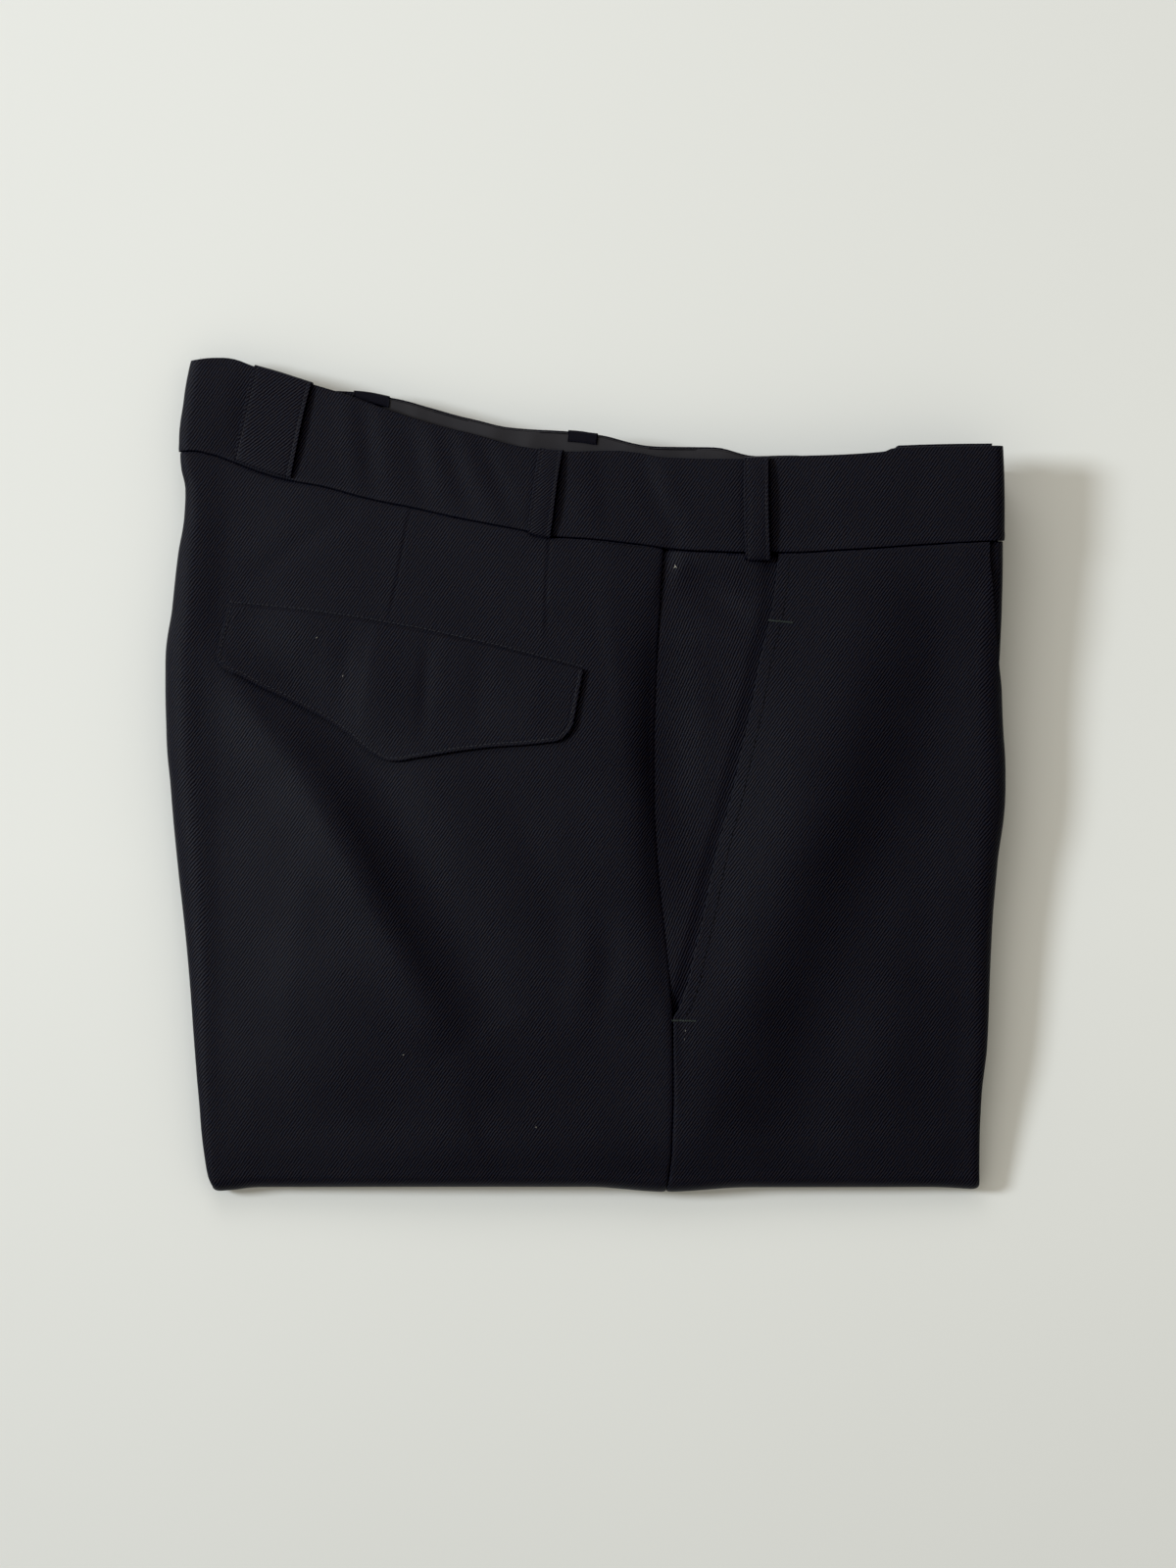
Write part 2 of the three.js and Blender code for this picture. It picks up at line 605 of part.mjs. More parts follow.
// The front panel starts at the side seam below the pocket, and at the pocket's mouth above.
const frontShares = spread(0, 1, 13).slice(0, -1);
function frontColumns(y) {
  const start = (y > POCKET_FOOT ? pocketMouth(y) : sideSeam(y)) + SEAM_GAP / 2;
  const flat = flyEdge(y) - flyReach(y) - (y > FLY_END ? flyAcross(y) : 0);
  const turned = y > FLY_END ? THREE.MathUtils.degToRad(flyTurned(y)) : CURL;
  const last = turned > 0 ? atFlyTurn(turned, y) : flat;
  const end = flat - FLY_LEAD * (1 - turned / CURL);
  const level = frontShares.map((share) => mix(start, end, share));
  const round = [...ROLL_TURNS].reverse().map((angle) => mix(end, last, angle / CURL));
  return [...level, ...round];
}
function flyRaise(q, p) {
  const { amount, from_x, to_x, from_y, to_y } = FLY_RAISE;
  return amount * smooth(q, from_x, to_x) * smooth(p, from_y, to_y);
}
add("front_panel_right", panel(frontColumns, frontShares.length + ROLL_TURNS.length, flyRaise, CLOTH), NAVY);

// The left front shows as a narrow strip past the fly edge of the right front.
function flyStrip() {
  const { foot, tuck, sunk, thick, columns, rows } = FLY_STRIP;
  const columnQ = (i, y) => {
    const start = flyEdge(y) - flyReach(y) - flyAcross(y) - tuck;
    return mix(start, atFlyTurn(CURL, y), i / (columns - 1));
  };
  const at = (i, j, lift) => {
    const x = settled((y) => across(columnQ(i, y), y).x, waistSeam);
    const y = mix(waistSeam(x) - SEAM_GAP / 2, foot, j / (rows - 1));
    return laid(columnQ(i, y), y, lift);
  };
  return wall(columns, rows, (i, j) => at(i, j, -sunk), (i, j) => at(i, j, -sunk - thick));
}
add("front_panel_left", flyStrip(), NAVY);

// Pocket facing, sewn to the back panel at the side seam and tucked under the pocket's mouth.
function pocketFacing() {
  const { sunk, thick, below_seam, seam_x, past_foot, under_back, under_front, shares, rows } = FACING;
  const at = (i, j, lift) => {
    const y = mix(waistSeam(seam_x) - below_seam, POCKET_FOOT - past_foot, j / (rows - 1));
    const q = mix(sideSeam(y) - under_back, pocketMouth(y) + under_front, shares[i]);
    return laid(q, Math.min(y, waistSeam(q) - below_seam), lift);
  };
  return wall(shares.length, rows, (i, j) => at(i, j, -sunk), (i, j) => at(i, j, -sunk - thick));
}
add("pocket_facing_right", pocketFacing(), NAVY_FACING);

// The flap of the back pocket lies on the back panel.
function pocketFlap() {
  const curves = [FLAP_TOP, FLAP_FOOT].map((rows) => ({
    x: curveThrough(rows, "share", "x"),
    y: curveThrough(rows, "share", "y"),
  }));
  const at = (i, j, lift) => {
    const share = i / (FLAP.columns - 1);
    const [top, foot] = curves.map((c) => ({ x: c.x(share), y: c.y(share) }));
    const t = j / (FLAP.rows - 1);
    return laid(mix(top.x, foot.x, t), mix(top.y, foot.y, t), lift);
  };
  const outside = FLAP.above + FLAP.thick;
  return wall(FLAP.columns, FLAP.rows, (i, j) => at(i, j, outside), (i, j) => at(i, j, FLAP.above));
}
add("pocket_flap_right", pocketFlap(), NAVY);

// ---- Waistband ----

// A band is a strip between its seam and its top edge, in columns of q.
function band(columns, foot, top, rows, outside, inside, rolled) {
  const at = (i, j, lift) => {
    const columnX = (y) => across(columns[i](y), y, rolled).x;
    const p = mix(foot(settled(columnX, foot)), top(settled(columnX, top)), j / (rows - 1));
    return laid(columns[i](p), p, lift, rolled);
  };
  return wall(columns.length, rows, (i, j) => at(i, j, outside), (i, j) => at(i, j, inside));
}

// The near waistband has a column wherever the panels have one at the seam.
const acrossShare = (x) => (y) => mix(seatEdge(y) + seatReach(y), flyEdge(y) - flyReach(y), x);
function seamShare(columns, i) {
  const x = settled((y) => columns(y)[i], waistSeam);
  const y = waistSeam(x);
  const start = seatEdge(y) + seatReach(y);
  return (x - start) / (flyEdge(y) - flyReach(y) - start);
}
const backSeam = backShares.map((_, i) => seamShare(backColumns, ROLL_TURNS.length + i));
const frontSeam = frontShares.map((_, i) => seamShare(frontColumns, i));
const facingSeam = spread(backSeam.at(-1), frontSeam[0], 6).slice(1, -1);
const seatBandTurns = [BAND_CURL_SEAT, ...ROLL_TURNS];
const flyBandTurns = [0, 0.35, 0.7, 1].map((share) => share * BAND_CURL_FLY);
const nearColumns = [
  ...seatBandTurns.map((angle) => (y) => atSeatTurn(angle, y)),
  ...[...backSeam, ...facingSeam, ...frontSeam].map(acrossShare),
  ...flyBandTurns.map((angle) => (y) => atFlyTurn(angle, y)),
];
const aboveSeam = (x) => waistSeam(x) + SEAM_GAP / 2;
add("waistband_right", band(nearColumns, aboveSeam, nearTop, 5, BAND_PROUD, NEAR_INSIDE, true), NAVY);

// The far waistband joins the near one at the centre back and lies under it from there.
const farFoot = (x) => Math.max(farTop(x) - BAND_DEPTH, waistSeam(x) + 1.5);
const farShares = spread(0, 1, 31);
const farStart = (y) => seatEdge(y) + seatReach(y) + SEAM_GAP;
const farColumns = farShares.map((share) => (y) => mix(farStart(y), flyEdge(y) - 0.6, share));
add("waistband_left", band(farColumns, farFoot, farTop, 4, FAR_INSIDE, FAR_OUTSIDE, false), NAVY);

const LINING_FROM = 7;               // the far band's column where the lining begins
const liningColumns = farColumns.slice(LINING_FROM, -1);
const liningTop = (x) => farTop(x) - 0.9;
const liningFoot = (x) => farTop(x) - BAND_DEPTH + 4;
const liningInside = LINING_FACE - LINING;
add(
  "waistband_lining_left",
  band(liningColumns, liningFoot, liningTop, 4, LINING_FACE, liningInside, false),
  LINING_GREY,
  0.45,
);

// The tab inside the right front of the waistband.
function innerTab() {
  const outside = NEAR_INSIDE - TAB.under;
  const columns = [0, 0.05, 0.24, 0.43, 0.62, 0.81, 1];
  const at = (i, j, lift) => {
    const x = mix(TAB.from_x, TAB.to_x, columns[i]);
    const top = nearTop(x) + (i === 0 ? TAB.above - TAB.corner : TAB.above);
    return laid(x, top - (TAB.depth * j) / 3, lift, false);
  };
  return wall(columns.length, 4, (i, j) => at(i, j, outside), (i, j) => at(i, j, outside - TAB.thick));
}
add("waistband_tab_right", innerTab(), NAVY);

// ---- Belt loops ----

// A loop is a strap of constant thickness: up the band's outside, over its top edge and a
// little way down its inside. Its path is in p, and lift above the garment's face.
function beltLoop({ near, top_x, foot_x, width, past, turned, above }) {
  const top = near ? nearTop : farTop;
  const foot = near ? waistSeam : farFoot;
  const outside = near ? BAND_PROUD : FAR_OUTSIDE;
  const inside = near ? NEAR_INSIDE : LINING_FACE;
  const out = near ? 1 : -1;
  const widthAcross = spread(-0.5, 0.5, width > WIDE_LOOP ? 7 : 3);
  const bulge = out * (near ? LOOP_BULGE.near : LOOP_BULGE.far);
  const path = loopPath(outside + out * REST_GAP, inside - out * REST_GAP, bulge, turned, above);
  const at = (i, j, edge) => {
    const { share, past_top, lift, turn } = path[j];
    const x = mix(foot_x, top_x, share) + widthAcross[i] * width;
    const p = mix(foot(x) - past, top(x), share) + past_top + edge * STRAP * Math.sin(turn);
    return laid(x, p, lift + edge * STRAP * Math.cos(turn) * out, false);
  };
  return wall(widthAcross.length, path.length, (i, j) => at(i, j, 1), (i, j) => at(i, j, 0));
}

// The strap's inner face from the seam up (share), and past the band's top edge.
function loopPath(face, back, bulge, turned, above) {
  const front = [
    { share: 0, past_top: 0, lift: face, turn: 0 },
    { share: 0.12, past_top: 0, lift: face + bulge * 0.6, turn: 0 },
    { share: 0.5, past_top: 0, lift: face + bulge, turn: 0 },
    { share: 0.86, past_top: 0, lift: face + bulge * 0.6, turn: 0 },
  ];
  if (turned === 0) return [...front, { share: 1, past_top: above, lift: face, turn: 0 }];
  return [
    ...front,
    { share: 1, past_top: LOOP_CLEAR, lift: face, turn: Math.PI / 4 },
    { share: 1, past_top: LOOP_CLEAR, lift: back, turn: (Math.PI * 3) / 4 },
    { share: 1, past_top: -turned, lift: back, turn: Math.PI },
  ];
}
for (const loop of LOOPS) add(loop.name, beltLoop(loop), NAVY);

// ---- Hidden layers ----

// How high the shared solid reaches under the panels, and lower under the waistbands.
function stackTop(x, y) {
  const underBand = smooth(y, waistSeam(x) - STACK.band_ramp, waistSeam(x) - STACK.band_level);
  return heightAt(x, y) - mix(STACK.under_panels, STACK.under_band, underBand);
}

// The seat, thigh and leg layers below the top ones: one closed body, flat on the table, with
// a rounded lip for each folded layer down both long sides.
function foldedLayers() {
  const { columns, rows, step_z, step_y, step_row, fold_zone_in } = STACK;
  const rowY = (x, j) => {
    const end = legFold(x) - STACK.from_leg_fold;
    const ramp = Math.min(waistSeam(x), end) - STACK.band_ramp;
    const first = [foldLine(x) + FOLD_REACH + STACK.from_roll, step_y - 0.5, step_y + step_row];
    if (j < first.length) return first[j];
    if (j < rows - 3) return mix(step_y + step_row, ramp, (j - 2) / (rows - 6));
    return mix(Math.min(ramp + STACK.ramp_row, end - STACK.last_row), end, (j - rows + 3) / 2);
  };
  const top = (i, j) => {
    let x = 0;
    for (let pass = 0; pass < 5; pass += 1) {
      const y = rowY(x, j);
      const seatIn = seatReach(y) + STACK.from_roll;
      const flyIn = flyReach(y) + STACK.from_roll;
      x = mix(seatEdge(y) + seatIn, flyEdge(y) - flyIn, i / (columns - 1));
    }
    return new THREE.Vector3(x, rowY(x, j), stackTop(x, rowY(x, j)));
  };
  const ringPoint = (layer, i, j) => {
    const inner = top(i, j);
    const atFold = j === 0;
    const atWaist = j === rows - 1;
    const atSide = i === 0 || i === columns - 1;
    const y0 = atFold ? foldLine(inner.x) : atWaist ? legFold(inner.x) : inner.y;
    const inFold = y0 < step_y;
    const stepped = inFold && layer.fold_in >= LAYERS[0].fold_in;
    const foldZoneIn = (stepped ? STACK.fold_zone_foot : fold_zone_in) + (atFold ? STACK.corner_in : 0);
    const sideIn = inFold ? Math.max(layer.side_in, foldZoneIn) : layer.side_in;
    const edgeX = i === 0 ? seatEdge(y0) + sideIn : flyEdge(y0) - sideIn;
    const endIn = atWaist ? -layer.waist_in : atFold ? layer.fold_in : 0;
    const x = atSide ? edgeX : inner.x;
    const y = stepped ? step_y : y0 + endIn;
    const edge = i === 0 ? seatDrop(y0) : flyDrop(y0);
    const crease = heightAt(x, y0) - edge * (1 - Math.cos(CURL)) - STACK.under_crease;
    const under = stackTop(inner.x, Math.min(Math.max(y0, inner.y), legFold(inner.x)));
    if (inFold) {
      const z = step_z + layer.fold * (under - step_z);
      return new THREE.Vector3(x, y, layer === LAYERS[0] ? 0 : z);
    }
    if (atWaist) return new THREE.Vector3(x, y, layer.waist * (atSide ? Math.min(under, crease) : under));
    return new THREE.Vector3(x, y, layer.side * crease);
  };
  return closedStack(columns, rows, top, ringPoint);
}

function closedStack(columns, rows, top, ringPoint) {
  const points = [];
  const faces = [];
  const grid = (i, j) => i * rows + j;
  for (let i = 0; i < columns; i += 1) {
    for (let j = 0; j < rows; j += 1) points.push(top(i, j));
  }
  for (let i = 0; i < columns - 1; i += 1) {
    for (let j = 0; j < rows - 1; j += 1) {
      faces.push([grid(i, j), grid(i + 1, j), grid(i + 1, j + 1)]);
      faces.push([grid(i, j), grid(i + 1, j + 1), grid(i, j + 1)]);
    }
  }
  const rim = rimOf(columns, rows);
  let above = rim.map(([i, j]) => grid(i, j));
  for (const layer of [...LAYERS].reverse()) {
    const ring = rim.map(([i, j]) => points.push(ringPoint(layer, i, j)) - 1);
    ring.forEach((low, k) => {
      const next = (k + 1) % ring.length;
      faces.push([above[k], low, ring[next]], [above[k], ring[next], above[next]]);
    });
    above = ring;
  }
  const middle = points.push(new THREE.Vector3(0, 0, 0)) - 1;
  above.forEach((low, k) => faces.push([low, middle, above[(k + 1) % above.length]]));
  return triangles(points, faces);
}
add("folded_layers", foldedLayers(), NAVY);

export default trousers;
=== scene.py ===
# Men's dress trousers in navy wool twill, laid on their left side and folded in three, seen from
# straight above on a pale surface. Sizes are in millimetres up to the meshes, which are metres.
import math
from collections import namedtuple

import bpy
import numpy as np
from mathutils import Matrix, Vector


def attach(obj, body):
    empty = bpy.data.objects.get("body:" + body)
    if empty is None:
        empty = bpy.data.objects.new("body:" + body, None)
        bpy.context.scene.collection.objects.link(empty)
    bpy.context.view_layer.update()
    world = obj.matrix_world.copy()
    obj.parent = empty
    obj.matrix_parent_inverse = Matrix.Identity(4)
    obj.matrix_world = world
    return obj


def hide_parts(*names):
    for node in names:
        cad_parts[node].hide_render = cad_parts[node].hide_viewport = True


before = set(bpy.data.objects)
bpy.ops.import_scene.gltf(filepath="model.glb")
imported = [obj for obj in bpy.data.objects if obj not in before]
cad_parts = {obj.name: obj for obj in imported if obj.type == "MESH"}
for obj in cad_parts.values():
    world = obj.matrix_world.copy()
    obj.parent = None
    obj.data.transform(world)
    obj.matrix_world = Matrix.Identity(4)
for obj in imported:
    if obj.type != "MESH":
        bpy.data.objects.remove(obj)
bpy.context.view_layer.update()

MM = 0.001
PI = math.pi
rng = np.random.default_rng(7)

# ---- The laid garment, as in the part's source ----

CLOTH, HIDDEN_CLOTH = 1.1, 0.6
BAND, LINING, STRAP = 2.4, 0.8, 1.3
SEAM_GAP, REST_GAP = 0.12, 0.4
BAND_PROUD, MOUTH, BAND_DEPTH = 0.6, 2.5, 46.5
FOLD_REACH = 7.0
NEAR_INSIDE = BAND_PROUD - BAND
LINING_FACE = NEAR_INSIDE - MOUTH
FAR_INSIDE = LINING_FACE - LINING - SEAM_GAP
FAR_OUTSIDE = FAR_INSIDE - BAND
BAND_DROP = (BAND_PROUD - FAR_OUTSIDE) / 2 - BAND_PROUD


def columns(names, *rows):
    """A short table as {column name: array}."""
    return {name: np.array(values, float) for name, values in zip(names.split(), zip(*rows))}


EDGE_FOOT = -192.0
EDGES = columns(
    "y seat fly",
    (EDGE_FOOT, -171.5, 182.4), (-178, -174.6, 182.2), (-150, -177.3, 182.8), (-124, -179.4, 185.4),
    (-85, -182.3, 186.8), (-40, -187.0, 189.9), (-4, -190.2, 193.4), (22, -192.1, 192.2),
    (49, -192.5, 190.9), (76, -189.5, 191.6), (102, -186.7, 191.9), (122, -183.7, 191.9),
    (131, -183.4, 191.8), (141, -185.3, 191.5), (149, -185.8, 191.2), (172, -183.8, 191.0),
    (191, -180.6, 190.6),
)
ROLLS = columns(
    "y seat_reach seat_drop fly_reach fly_drop",
    (-190, 4, 2.4, 4, 2.4), (-160, 5, 3, 4.5, 2.8), (-120, 7, 4, 6, 3.6), (-80, 10, 5.5, 8, 5),
    (-20, 12, 7, 10, 6), (50, 11, 7, 10, 6), (100, 9, 6, 7, 5), (133, 6, 4, 5, 3.8),
    (148, 5, BAND_DROP, 4, BAND_DROP), (192, 5, BAND_DROP, 4, BAND_DROP),
)
HEIGHT_X = np.array([-168.0, -88, 0, 90, 172])
HEIGHTS = columns(
    "y seat back side front fly",
    (-186, 12.6, 13.8, 14.4, 13.8, 12.2), (-165, 15.4, 18.6, 19.4, 18.6, 15.4),
    (-120, 18.6, 25.6, 26.4, 25.6, 20.6), (-70, 21.4, 28.4, 28.8, 28.2, 24.0),
    (-10, 24.0, 29.6, 30.8, 30.6, 28.0), (50, 24.0, 29.4, 31.6, 32.6, 31.6),
    (105, 21.4, 27.2, 31.0, 33.6, 34.6), (150, 18.4, 24.4, 29.4, 33.0, 35.0),
    (192, 15.6, 22.6, 28.0, 32.4, 34.6),
)
FOLD_LINE = columns(
    "x y", (-172, -192.2), (-162, -191.4), (-148, -190.1), (2, -189.9), (38, -192.2), (76, -190.1),
    (155, -190.1), (183, -191.3),
)
WAIST_SEAM = columns(
    "x y", (-190, 146.6), (-182.6, 148.8), (-171.5, 147.2), (-163.4, 144.5), (-134.5, 135.0),
    (-120.2, 132.3), (-100.3, 126.9), (-78.8, 122.4), (-57.2, 117.5), (-27, 111.6), (-15.8, 109.0),
    (0, 108.0), (24.3, 105.4), (55.8, 102.2), (88.2, 101.5), (117, 102.6), (155.7, 105.1),
    (192, 107.0),
)
NEAR_TOP = columns(
    "x y", (-190, 190.2), (-180.9, 190.9), (-169, 192.1), (-150.8, 187.7), (-126, 180.0),
    (-107.6, 174.2), (-77.4, 163.6), (-50, 156.2), (-21.2, 149.4), (-7.2, 148.1), (11.3, 148.5),
    (24.3, 147.6), (37.4, 145.4), (72.5, 144.7), (95, 145.8), (136.8, 147.8), (142, 149.6), (192, 150.6),
)
FAR_TOP = columns(
    "x y", (-182, 189.0), (-169, 190.4), (-150, 186.2), (-131, 180.6), (-120.2, 177.4),
    (-108.9, 176.8), (-88.7, 173.7), (-71.6, 169.2), (-50, 163.4), (-28.4, 159.3), (-9.9, 158.2),
    (7.2, 156.2), (33.8, 150.8), (59.9, 150.3), (78.8, 146.3), (95, 146.6), (112, 145.6),
    (137, 146.6), (190, 149.4),
)
SIDE_SEAM = columns(
    "y x", (-192, 37.8), (-184, 39.2), (-166, 40.5), (-138, 41.0), (-112, 40.9), (-100, 39.8),
    (-72, 37.2), (-51, 35.0), (-31, 33.5), (-8, 32.7), (14, 32.6), (36, 33.1), (60, 33.9), (84, 35.5),
    (105, 36.9),
)
POCKET_FOOT = -110.0
POCKET_MOUTH = columns(
    "y x", (-110, 41.2), (-105, 44.1), (-83, 50.0), (-58, 55.8), (-36, 60.3), (-14, 66.2),
    (10, 71.6), (32, 76.5), (54, 80.6), (70, 84.6), (78, 86.2), (102, 88.7),
)
FLY_END = -40.0
FLY_LINE = columns(
    "y turned across", (-40, 180, 0), (14, 180, 0), (30, 122, 0), (38, 86, 0), (45, 70, 0),
    (52, 60, 0), (62, 47, 0), (74, 33, 0), (89, 18, 0), (99, 4, 0), (107, 0, 0.9),
)
FLAP_TOP = columns(
    "share x y", (0, -163.1, 78.3), (0.12, -143.6, 76.5), (0.3, -114.8, 72.9), (0.45, -90.5, 68.9),
    (0.65, -57.2, 62.3), (0.87, -21.2, 53.6), (1, 0, 48.2),
)
FLAP_FOOT = columns(
    "share x y", (0, -168.6, 55.6), (0.03, -167.0, 51.0), (0.1, -157.5, 45.0), (0.28, -131.9, 32.4),
    (0.42, -108.9, 19.4), (0.5, -94.6, 8.6), (0.54, -87.3, 6.4), (0.6, -77.4, 7.7),
    (0.78, -42.8, 12.6), (0.93, -15.8, 14.9), (0.97, -7.6, 18.6), (1, -4.6, 24.0),
)
LEG_FOLD = columns("x y", (-178, 149), (-110, 146), (0, 141.5), (100, 140.5), (186, 143))

# Folds in the whole lay: (kind, height, width, path), where a width may differ on the left and the
# right of the path. A ridge stands up along its path, a flank steps down from left to right.
FOLDS = [
    # From the seat down across the thigh: a long swell, and the dark side of it.
    ("ridge", 3.2, (17, 40), [(-137, 10), (-128, -6), (-119, -24), (-106, -48), (-90, -78), (-74, -108),
                              (-60, -140)]),
    ("flank", 2.4, (24, 18), [(-168, 66), (-153, 47), (-140, 30), (-126, 13), (-109, -12), (-95, -39),
                              (-75, -78), (-60, -106), (-52, -122)]),
    # Beside the side seam: a ridge that falls steeply to the seam, and the hollow of the pocket.
    ("ridge", 2.9, (15, 48), [(7, 104), (9, 72), (10.5, 52), (13, 30), (15.5, 14), (21, -4), (27, -20),
                              (33, -38), (37, -56), (39, -92)]),
    ("ridge", -2.9, (38, 9), [(35, 72), (34, 50), (33.5, 26), (33.5, 0), (35, -30), (38, -60),
                              (40, -96)]),
    # Behind the hip, beside the seat edge.
    ("ridge", -0.9, (4, 6), [(-108, 119), (-126, 108), (-143, 96), (-157, 87)]),
    ("ridge", -1.2, (32, 9), [(-160, 150), (-161, 118), (-162, 95), (-166, 70), (-173, 44)]),
    # From the fly down across the front to the side seam.
    ("ridge", 1.8, (24, 36), [(140, 100), (128, 57), (118, 17), (103, -22), (90, -56), (79, -90),
                              (68, -130)]),
    ("flank", 2.4, 36, [(156, 104), (148, 62), (137, 17), (129, -11), (118, -39), (106, -67),
                        (93, -101), (81, -134), (74, -176)]),
    ("flank", 1.3, 38, [(104, -80), (88, -118), (78, -152), (74, -192)]),
    # Soft waves above the bottom fold, and the cloth bending down to it.
    ("ridge", 0.6, 7, [(-3, -60), (0, -85), (-4, -114)]),
    ("ridge", -0.6, 6, [(10, -66), (11, -90), (7, -114)]),
    ("flank", 1.5, 30, [(-150, -170), (-90, -162), (-30, -157), (60, -156), (120, -160), (170, -168)]),
]


def slopes(t, v):
    step = (v[1:] - v[:-1]) / (t[1:] - t[:-1]).reshape(-1, *[1] * (v.ndim - 1))
    before, after = step[:-1], step[1:]
    same = before * after > 0
    inner = np.where(same, 2 * before * after / np.where(same, before + after, 1), 0)
    return np.concatenate([step[:1], inner, step[-1:]])


def between(t, v, lean, at):
    at = np.clip(at, t[0], t[-1])
    i = np.clip(np.searchsorted(t, at, side="right") - 1, 0, len(t) - 2)
    pick = (lambda a, k: a[k]) if v.ndim == 1 else (lambda a, k: np.take_along_axis(a, k[None], 0)[0])
    wide = t[i + 1] - t[i]
    s = (at - t[i]) / wide
    start = pick(v, i) + s * wide * pick(lean, i)
    end = pick(v, i + 1) - (1 - s) * wide * pick(lean, i + 1)
    ease = s * s * (3 - 2 * s)
    return start * (1 - ease) + end * ease


def curve(rows, along, value):
    """A smooth curve through a table that never overshoots its rows."""
    t, v = rows[along], rows[value]
    lean = slopes(t, v)
    return lambda at: between(t, v, lean, np.asarray(at, float))


seat_edge, fly_edge = curve(EDGES, "y", "seat"), curve(EDGES, "y", "fly")
seat_reach, seat_drop = curve(ROLLS, "y", "seat_reach"), curve(ROLLS, "y", "seat_drop")
fly_reach, fly_drop = curve(ROLLS, "y", "fly_reach"), curve(ROLLS, "y", "fly_drop")
height_columns = [curve(HEIGHTS, "y", name) for name in ("seat", "back", "side", "front", "fly")]
fold_line = curve(FOLD_LINE, "x", "y")
waist_seam = curve(WAIST_SEAM, "x", "y")
near_top, far_top = curve(NEAR_TOP, "x", "y"), curve(FAR_TOP, "x", "y")
side_seam_top, pocket_mouth = curve(SIDE_SEAM, "y", "x"), curve(POCKET_MOUTH, "y", "x")
fly_turned, fly_across = curve(FLY_LINE, "y", "turned"), curve(FLY_LINE, "y", "across")
leg_fold = curve(LEG_FOLD, "x", "y")


def mix(a, b, t):
    return a + (b - a) * t


def smooth(at, start, end):
    t = np.clip((np.asarray(at, float) - start) / (end - start), 0, 1)
    return t * t * (3 - 2 * t)


# A ridge fades over this share of its path at each end. A flank is steepest on its path, and its
# shoulders are this share of its width away.
RIDGE_END, FLANK_REACH = 0.08, 0.606
WIDTH_BLEND = 4   # a width goes over into the other side's within this distance of the path


def nearest(path, x, y):
    """How far (x, y) lies from a path, on which side, how far along it, from 0 to 1, and how far
    to its left."""
    best = np.full(x.shape, np.inf)
    share, left = np.zeros(x.shape), np.zeros(x.shape)
    for i, ((ax, ay), (bx, by)) in enumerate(zip(path, path[1:])):
        dx, dy = bx - ax, by - ay
        t = np.clip(((x - ax) * dx + (y - ay) * dy) / (dx * dx + dy * dy), 0, 1)
        away = np.hypot(x - ax - t * dx, y - ay - t * dy)
        closer = away < best
        best = np.where(closer, away, best)
        left = np.where(closer, ((y - ay) * dx - (x - ax) * dy) / math.hypot(dx, dy), left)
        share = np.where(closer, (i + t) / (len(path) - 1), share)
    return best, np.sign(left), share, left


def relief(folds, x, y):
    """The height that a table of folds adds at (x, y)."""
    total = np.zeros(np.broadcast(x, y).shape)
    x, y = np.broadcast_arrays(x, y)
    for kind, high, width, path in folds:
        away, side, share, left = nearest(path, x, y)
        if isinstance(width, tuple):
            width = mix(width[1], width[0], smooth(left, -WIDTH_BLEND, WIDTH_BLEND))
        ends = RIDGE_END if kind == "ridge" else 0.0
        high = high * np.sin(PI * np.clip(share, ends, 1 - ends)) ** 0.7
        if kind == "ridge":
            total = total + high * np.exp(-((away / width) ** 2))
        else:
            reach = away / (width * FLANK_REACH)
            total = total - side * high * reach * np.exp((1 - reach * reach) / 2)
    return total


def height(x, y):
    x, y = np.broadcast_arrays(np.asarray(x, float), np.asarray(y, float))
    flat_x, flat_y = x.ravel(), y.ravel()
    v = np.array([down_column(flat_y) for down_column in height_columns])
    base = between(HEIGHT_X, v, slopes(HEIGHT_X, v), flat_x).reshape(x.shape)
    return base + relief(FOLDS, x, y)


# ---- How the legs go round: top third, bottom fold, middle third, leg fold, hem third ----

FOLD_A, HALF_A, LEG_FOLD_REACH = -183.0, 7.8, 6.0
UNDER_FROM = FOLD_A - PI * (FOLD_REACH + HALF_A) / 2   # the path's p where the underside begins
LEG_FOLD_Y = 137.0
UNDER_TO = UNDER_FROM - (LEG_FOLD_Y - FOLD_A)
HEM_FROM = UNDER_TO - 22.0
HEM_END = HEM_FROM - (LEG_FOLD_Y - FOLD_A) + 10


def stack_top(x, y):
    """Where the layers below the right leg's top third reach to."""
    at_seat = smooth(x - seat_edge(y), 34, 6)
    at_fly = smooth(fly_edge(y) - x, 34, 6)
    below = 4.4 + at_seat * (2 * seat_drop(y) - 3) + at_fly * (2 * fly_drop(y) - 3)
    under_band = smooth(y, waist_seam(x) - 14, waist_seam(x) - 3)
    return height(x, y) - mix(below, 11.8, under_band)


def section_y(p):
    """The y at which a path's p reads the edge tables, whichever third it is in."""
    y = np.where(p >= EDGE_FOOT, p, EDGE_FOOT)
    y = np.where(p < UNDER_FROM, np.minimum(FOLD_A + UNDER_FROM - p, LEG_FOLD_Y), y)
    return np.where(p < HEM_FROM, LEG_FOLD_Y - (HEM_FROM - p), y)


